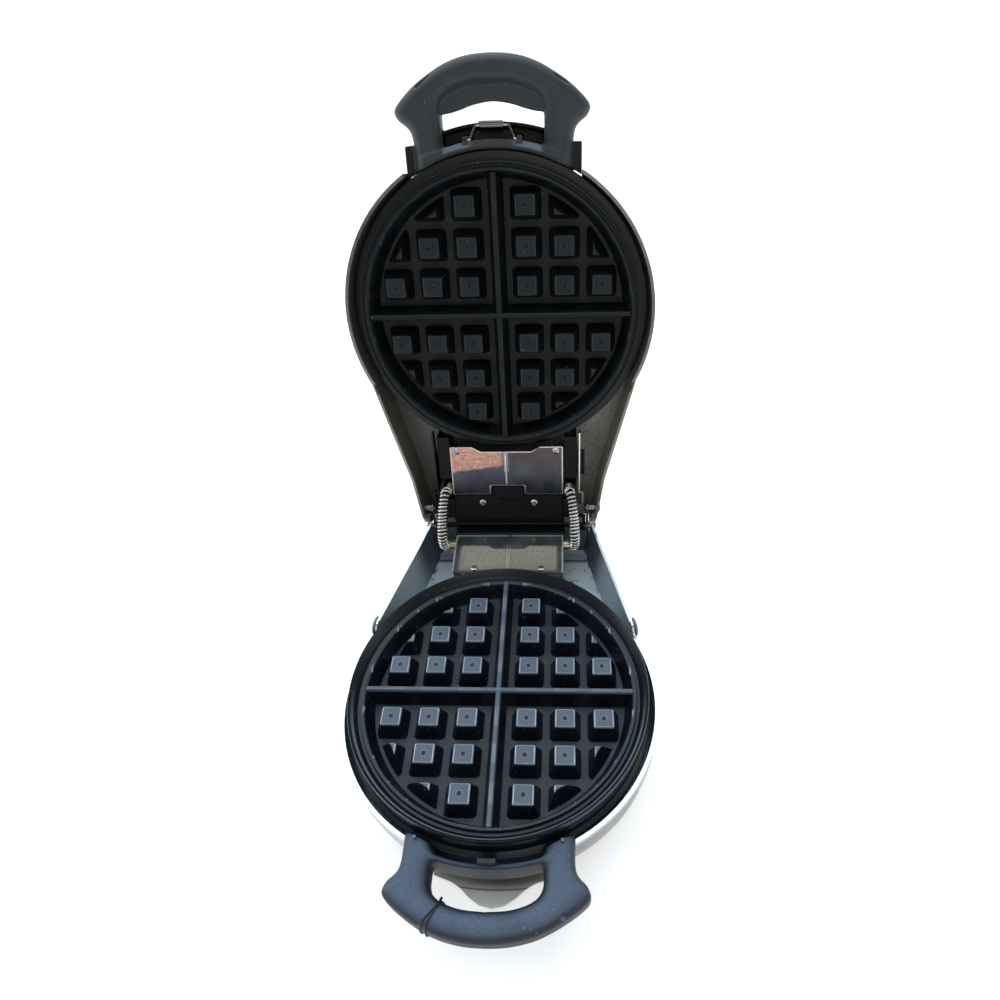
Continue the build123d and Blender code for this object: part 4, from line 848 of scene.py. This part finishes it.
def pocket_pick(c):
    # faces in the latch pocket and behind the bail block take the darker guard plastic as painted shade; the shoulders
    # outside the legs and the root behind the trim ring take it too
    r_ = np.hypot(c[:, 0], c[:, 1])
    dark = (np.abs(c[:, 0]) < 34.5) & (r_ > 110.3) & (r_ < 121) & (c[:, 2] < -15.0)
    dark |= (np.abs(c[:, 0]) < 13.4) & (r_ > 107.6) & (r_ < 118) & (c[:, 2] < -8.0)
    dark |= (np.abs(c[:, 0]) > 51.9) & (c[:, 1] < 108.5)
    dark |= (r_ < 104.2)
    return dark


H_UP = mesh_object("upper_grip_moulding", v, q, M_LID, [MAT["handle_up"], MAT["guard"]], pick=pocket_pick)
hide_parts("upper_handle")
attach(H_UP, "lid")


# ------------------------------------------------------------------ spring-armoured leads
def route(points, res=24):
    cu = bpy.data.curves.new("route", "CURVE")
    cu.dimensions = "3D"
    sp = cu.splines.new("NURBS")
    sp.points.add(len(points) - 1)
    for p, c_ in zip(sp.points, points):
        p.co = (c_[0], c_[1], c_[2], 1)
    sp.order_u = 3
    sp.use_endpoint_u = True
    sp.resolution_u = res
    ob = bpy.data.objects.new("route", cu)
    scene.collection.objects.link(ob)
    me = bpy.data.meshes.new_from_object(ob)
    pts = [v_.co.copy() for v_ in me.vertices]
    bpy.data.objects.remove(ob)
    bpy.data.meshes.remove(me)
    return pts


def resample(pts, n):
    L = [0.0]
    for a, b_ in zip(pts[:-1], pts[1:]):
        L.append(L[-1] + (b_ - a).length)
    out = []
    j = 0
    for i in range(n):
        s_ = L[-1] * i / (n - 1)
        while j < len(L) - 2 and L[j + 1] < s_:
            j += 1
        t = (s_ - L[j]) / max(L[j + 1] - L[j], 1e-12)
        out.append(pts[j].lerp(pts[j + 1], t))
    return out, L[-1]


def frames(pts):
    T = [(pts[min(i + 1, len(pts) - 1)] - pts[max(i - 1, 0)]).normalized() for i in range(len(pts))]
    n = T[0].orthogonal().normalized()
    out = []
    for i, t in enumerate(T):
        n = (n - t * n.dot(t)).normalized()
        out.append((t, n, t.cross(n)))
    return out


def tube(pts, radius, seg, closed_ends=True, prof=None):
    fr = frames(pts)
    verts, faces = [], []
    for p, (t, n, b_) in zip(pts, fr):
        for k in range(seg):
            a = 2 * math.pi * k / seg
            verts.append(p + n * (math.cos(a) * radius) + b_ * (math.sin(a) * radius))
    for i in range(len(pts) - 1):
        for k in range(seg):
            a, b2 = i * seg + k, i * seg + (k + 1) % seg
            faces.append((a, b2, b2 + seg, a + seg))
    if closed_ends:
        faces.append(tuple(reversed(range(seg))))
        faces.append(tuple(range((len(pts) - 1) * seg, len(pts) * seg)))
    return verts, faces


def raw_object(name, verts, faces, mt, smooth=True):
    me = bpy.data.meshes.new(name)
    me.from_pydata([tuple(v_) for v_ in verts], [], faces)
    me.validate()
    me.materials.append(mt)
    if smooth:
        me.polygons.foreach_set("use_smooth", [True] * len(me.polygons))
    me.update()
    ob = bpy.data.objects.new(name, me)
    scene.collection.objects.link(ob)
    return ob


for side, sx in (("left", -1), ("right", 1)):
    ctrl = [low(sx * 45.4, 135.6, -5.2), low(sx * 50.9, 135.6, -5.6), low(sx * 53.4, 131.6, -2.0), low(sx * 53.2, 131.6, 10.0), low(sx * 52.8, 139.0, 20.5),
            low(sx * 51.6, 144.5, 31.0), lid(sx * 49.6, -137.6, 4.0), lid(sx * 48.7, -141.5, -5.0), lid(sx * 48.7, -141.5, -15.0)]
    path, L = resample(route(ctrl), 240)
    pitch, wr, cr = 0.00275, 0.00098, 0.00320
    turns = L / pitch
    nper = 20
    total = int(turns * nper)
    fine, _ = resample(path, total + 1)
    fr = frames(fine)
    hel = []
    for i, (p, (t, n, b_)) in enumerate(zip(fine, fr)):
        a = 2 * math.pi * i / nper
        hel.append(p + n * (math.cos(a) * cr) + b_ * (math.sin(a) * cr))
    vv, ff = tube(hel, wr, 10)
    coil = raw_object(side + "_lead_coil", vv, ff, MAT["coil"])
    core_p, _ = resample(path, 80)
    vv, ff = tube(core_p, 0.0027, 16)
    core = raw_object(side + "_lead_core", vv, ff, MAT["guard"])
    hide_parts(side + "_conduit")
    for ob in (coil, core):
        tuple(ctrl[0])
        tuple(ctrl[-1])
        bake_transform(ob)


# ------------------------------------------------------------------ thin wire wound twice round the lower grip
def sample(G, org, h, p):
    """Distance at a point (plate coordinates, mm), trilinear."""
    q = [(p[i] - org[i]) / h for i in range(3)]
    i0 = [min(max(int(math.floor(c)), 0), G.shape[k] - 2) for k, c in enumerate(q)]
    f_ = [q[k] - i0[k] for k in range(3)]
    s_ = 0.0
    for a in (0, 1):
        for b_ in (0, 1):
            for c in (0, 1):
                wgt = (f_[0] if a else 1 - f_[0]) * (f_[1] if b_ else 1 - f_[1]) * (f_[2] if c else 1 - f_[2])
                s_ += wgt * G[i0[0] + a, i0[1] + b_, i0[2] + c]
    return s_


def wound(inner, outer, off, turns=1.0, n=64):
    """Ring round the grip through an inner and an outer point, lying on its surface."""
    cx, cy = (inner[0] + outer[0]) / 2, (inner[1] + outer[1]) / 2
    ux, uy = outer[0] - inner[0], outer[1] - inner[1]
    ln = math.hypot(ux, uy)
    ux, uy = ux / ln, uy / ln
    out = []
    for i in range(n + 1):
        th = math.pi + 2 * math.pi * turns * i / n
        dx, dz = math.cos(th), math.sin(th)
        t = 2.0
        while t < 26 and sample(LOG, LOO, 0.8, (cx + ux * dx * t, cy + uy * dx * t, -14.1 + dz * t)) < off:
            t += 0.12
        out.append(low(cx + ux * dx * t, cy + uy * dx * t, -14.1 + dz * t))
    return out


KNOT = (-25.2, -132.6)
for k, outer in enumerate(((-37.4, -146.2), (-33.6, -147.6))):
    ring = wound(KNOT, outer, 0.42)
    vv, ff = tube(ring, 0.00046, 10)
    ob = raw_object("grip_tie_loop_%d" % (k + 1), vv, ff, MAT["tie"])
    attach(ob, "base")
start = low(-25.0, -132.0, -12.6)
ends = [low(-24.9, -131.4, -9.4), low(-25.3, -130.7, -6.0), low(-24.5, -130.6, -3.0), low(-23.8, -130.9, -0.6)]
core_p, _ = resample(route([start] + ends), 60)
fr = frames(core_p)
for k in (0, 1):
    tw = [p + n * (math.cos(2 * math.pi * i / 14 + math.pi * k) * 0.00042) + b_ * (math.sin(2 * math.pi * i / 14 + math.pi * k) * 0.00042)
          for i, (p, (t, n, b_)) in enumerate(zip(core_p, fr))]
    vv, ff = tube(tw, 0.00042, 8)
    ob = raw_object("grip_tie_end_%d" % (k + 1), vv, ff, MAT["tie"])
    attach(ob, "base")

# ------------------------------------------------------------------ rolled lugs where the lower shell's rim meets its ears
for side, sx in (("left", -1), ("right", 1)):
    pts = [low(sx * 98.2, 50.4, -8.8), low(sx * 98.1, 53.6, -5.2), low(sx * 97.0, 58.4, -2.6), low(sx * 95.6, 62.6, -2.4)]
    path, _ = resample(route(pts), 28)
    fr = frames(path)
    vv, ff = [], []
    seg = 16
    for i, (p, (t, n, b_)) in enumerate(zip(path, fr)):
        s_ = i / (len(path) - 1)
        rad = 0.0014 * math.sqrt(max(1 - abs(2 * s_ - 1) ** 4, 0.02))
        for k in range(seg):
            a = 2 * math.pi * k / seg
            vv.append(p + n * (math.cos(a) * rad) + b_ * (math.sin(a) * rad))
    for i in range(len(path) - 1):
        for k in range(seg):
            a, b2 = i * seg + k, i * seg + (k + 1) % seg
            ff.append((a, b2, b2 + seg, a + seg))
    ff.append(tuple(reversed(range(seg))))
    ff.append(tuple(range((len(path) - 1) * seg, len(path) * seg)))
    ob = raw_object(side + "_rim_lug", vv, ff, MAT["lug"])
    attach(ob, "base")

# ------------------------------------------------------------------ black cheeks beside the hinge cover and the bead behind the wiring cover
for side, sx in (("left", -1), ("right", 1)):
    gx0, gx1 = sorted((sx * 42.6, sx * 52.0))
    X, Y, Z, org = grid(gx0 - 1.8, gx1 + 1.8, -173.8, -145.4, -30.2, 1.0, 0.8)
    out = [(sx * 42.9, -147.6), (sx * 47.2, -147.6), (sx * 50.2, -152.0), (sx * 51.2, -160.0), (sx * 50.8, -171.2), (sx * 42.9, -171.6)]
    dd = rounded(np.broadcast_to(sd_poly(X[:, :, 0], Y[:, :, 0], out)[:, :, None], X.shape), Z, -28.4, -1.6, 1.0)
    dd = smax(dd, (-(Y + 167.6) * 0.80 + (Z + 2.0) * 0.60), 0.8)
    v, q = surface_nets(dd, org, 0.8)
    ob = mesh_object(side + "_hinge_cheek", v, q, M_LID, [MAT["cover"]])
    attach(ob, "lid")
X, Y, Z, org = grid(-63.6, 63.6, 154.6, 161.6, -13.0, 8.8, 0.5)
dd = rounded(np.maximum(np.abs(X) - 57.0, np.abs(Y - 158.5) - 1.35), Z, -6.4, -1.05, 0.9)
dd = smin(dd, rounded(np.maximum(np.abs(X) - 57.0, np.abs(Y - 157.2) - 1.0), Z, -6.4, -2.1, 0.6), 0.5)
for sx in (-1, 1):
    dd = smin(dd, rounded(np.maximum(np.abs(X - sx * 59.2) - 3.1, np.abs(Y - 158.4) - 1.2), Z, -11.6, 7.4, 0.8), 0.5)
v, q = surface_nets(dd, org, 0.5)
ob = mesh_object("rear_cover_bead", v, q, M_LOW, [MAT["cover_low"]])
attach(ob, "base")

# the brackets' bevel faces take slot 1, the pale edge steel, as a painted highlight
for nm, wd, sl in (("lower_plate", 0.0005, -1), ("upper_plate", 0.0005, -1), ("lower_trim_ring", 0.0003, -1), ("upper_trim_ring", 0.0003, -1),
                   ("hinge_cover", 0.0006, -1), ("rear_wiring_cover", 0.0006, -1), ("lower_bracket", 0.0004, 1), ("upper_bracket", 0.0004, 1),
                   ("base_pan", 0.0004, -1), ("hinge_side_guards", 0.0004, -1), ("hinge_links", 0.0004, -1), ("latch_clip", 0.0002, -1)):
    soften(nm, wd, slot=sl)

# ------------------------------------------------------------------ stage and light
def stage_floor():
    me = bpy.data.meshes.new("stage_floor")
    bm = bmesh.new()
    w, back, up, rad = 9.0, 7.0, 4.0, 1.5
    prof = [(-7.0, 0.0), (back - rad, 0.0)]
    for i in range(1, 13):
        a = i / 12 * math.pi / 2
        prof.append((back - rad + rad * math.sin(a), rad - rad * math.cos(a)))
    prof.append((back, up))
    rows = [[bm.verts.new((sx * w, y, z)) for sx in (-1, 1)] for y, z in prof]
    for a, b_ in zip(rows[:-1], rows[1:]):
        bm.faces.new((a[0], a[1], b_[1], b_[0]))
    bm.to_mesh(me)
    bm.free()
    for p in me.polygons:
        p.use_smooth = True
    ob = bpy.data.objects.new("stage_floor", me)
    scene.collection.objects.link(ob)
    m, nt, b = new_mat("stage_white")
    n1 = noise(nt, tex_coord(nt), 3, 3)
    nt.links.new(mix(nt, n1, (0.90, 0.90, 0.90), (0.93, 0.93, 0.93)), b.inputs["Base Color"])
    b.inputs["Roughness"].default_value = 0.9
    b.inputs["Specular IOR Level"].default_value = 0.1
    b.inputs["Emission Color"].default_value = (1.0, 1.0, 1.0, 1.0)
    b.inputs["Emission Strength"].default_value = 0.42
    me.materials.append(m)


stage_floor()


def area(name, loc, target, size, energy, color=(1, 1, 1), size_y=None):
    l = bpy.data.lights.new(name, "AREA")
    l.energy = energy
    l.color = color
    l.shape = "RECTANGLE" if size_y else "SQUARE"
    l.size = size
    if size_y:
        l.size_y = size_y
    o = bpy.data.objects.new(name, l)
    scene.collection.objects.link(o)
    o.location = loc
    o.rotation_euler = (Vector(target) - Vector(loc)).to_track_quat("-Z", "Y").to_euler()
    return o


def sky(name, direction, angle, energy, color):
    l = bpy.data.lights.new(name, "SUN")
    l.energy = energy
    l.color = color
    l.angle = math.radians(angle)
    o = bpy.data.objects.new(name, l)
    scene.collection.objects.link(o)
    o.rotation_euler = Vector(direction).to_track_quat("Z", "Y").to_euler()
    return o


sky("light_sky", (-0.14, 0.42, 0.90), 74, 2.2, (0.74, 0.88, 1.0))
area("light_left", (-1.5, 0.1, 0.8), (0, 0, 0.1), 0.7, 7, (0.93, 0.97, 1.0), 1.4)
area("light_right", (1.5, 0.0, 0.9), (0, 0, 0.1), 0.7, 4, (1.0, 0.97, 0.93), 1.4)
area("light_front", (0.3, -1.8, 1.5), (0, 0.05, 0.15), 1.2, 7, (1.0, 0.98, 0.95))
world = bpy.data.worlds.new("studio")
scene.world = world
world.use_nodes = True
bg = world.node_tree.nodes["Background"]
bg.inputs["Color"].default_value = (0.94, 0.97, 1.0, 1)
bg.inputs["Strength"].default_value = 0.30
scene.view_settings.view_transform = "Standard"
scene.view_settings.look = "None"
scene.view_settings.exposure = 0.0
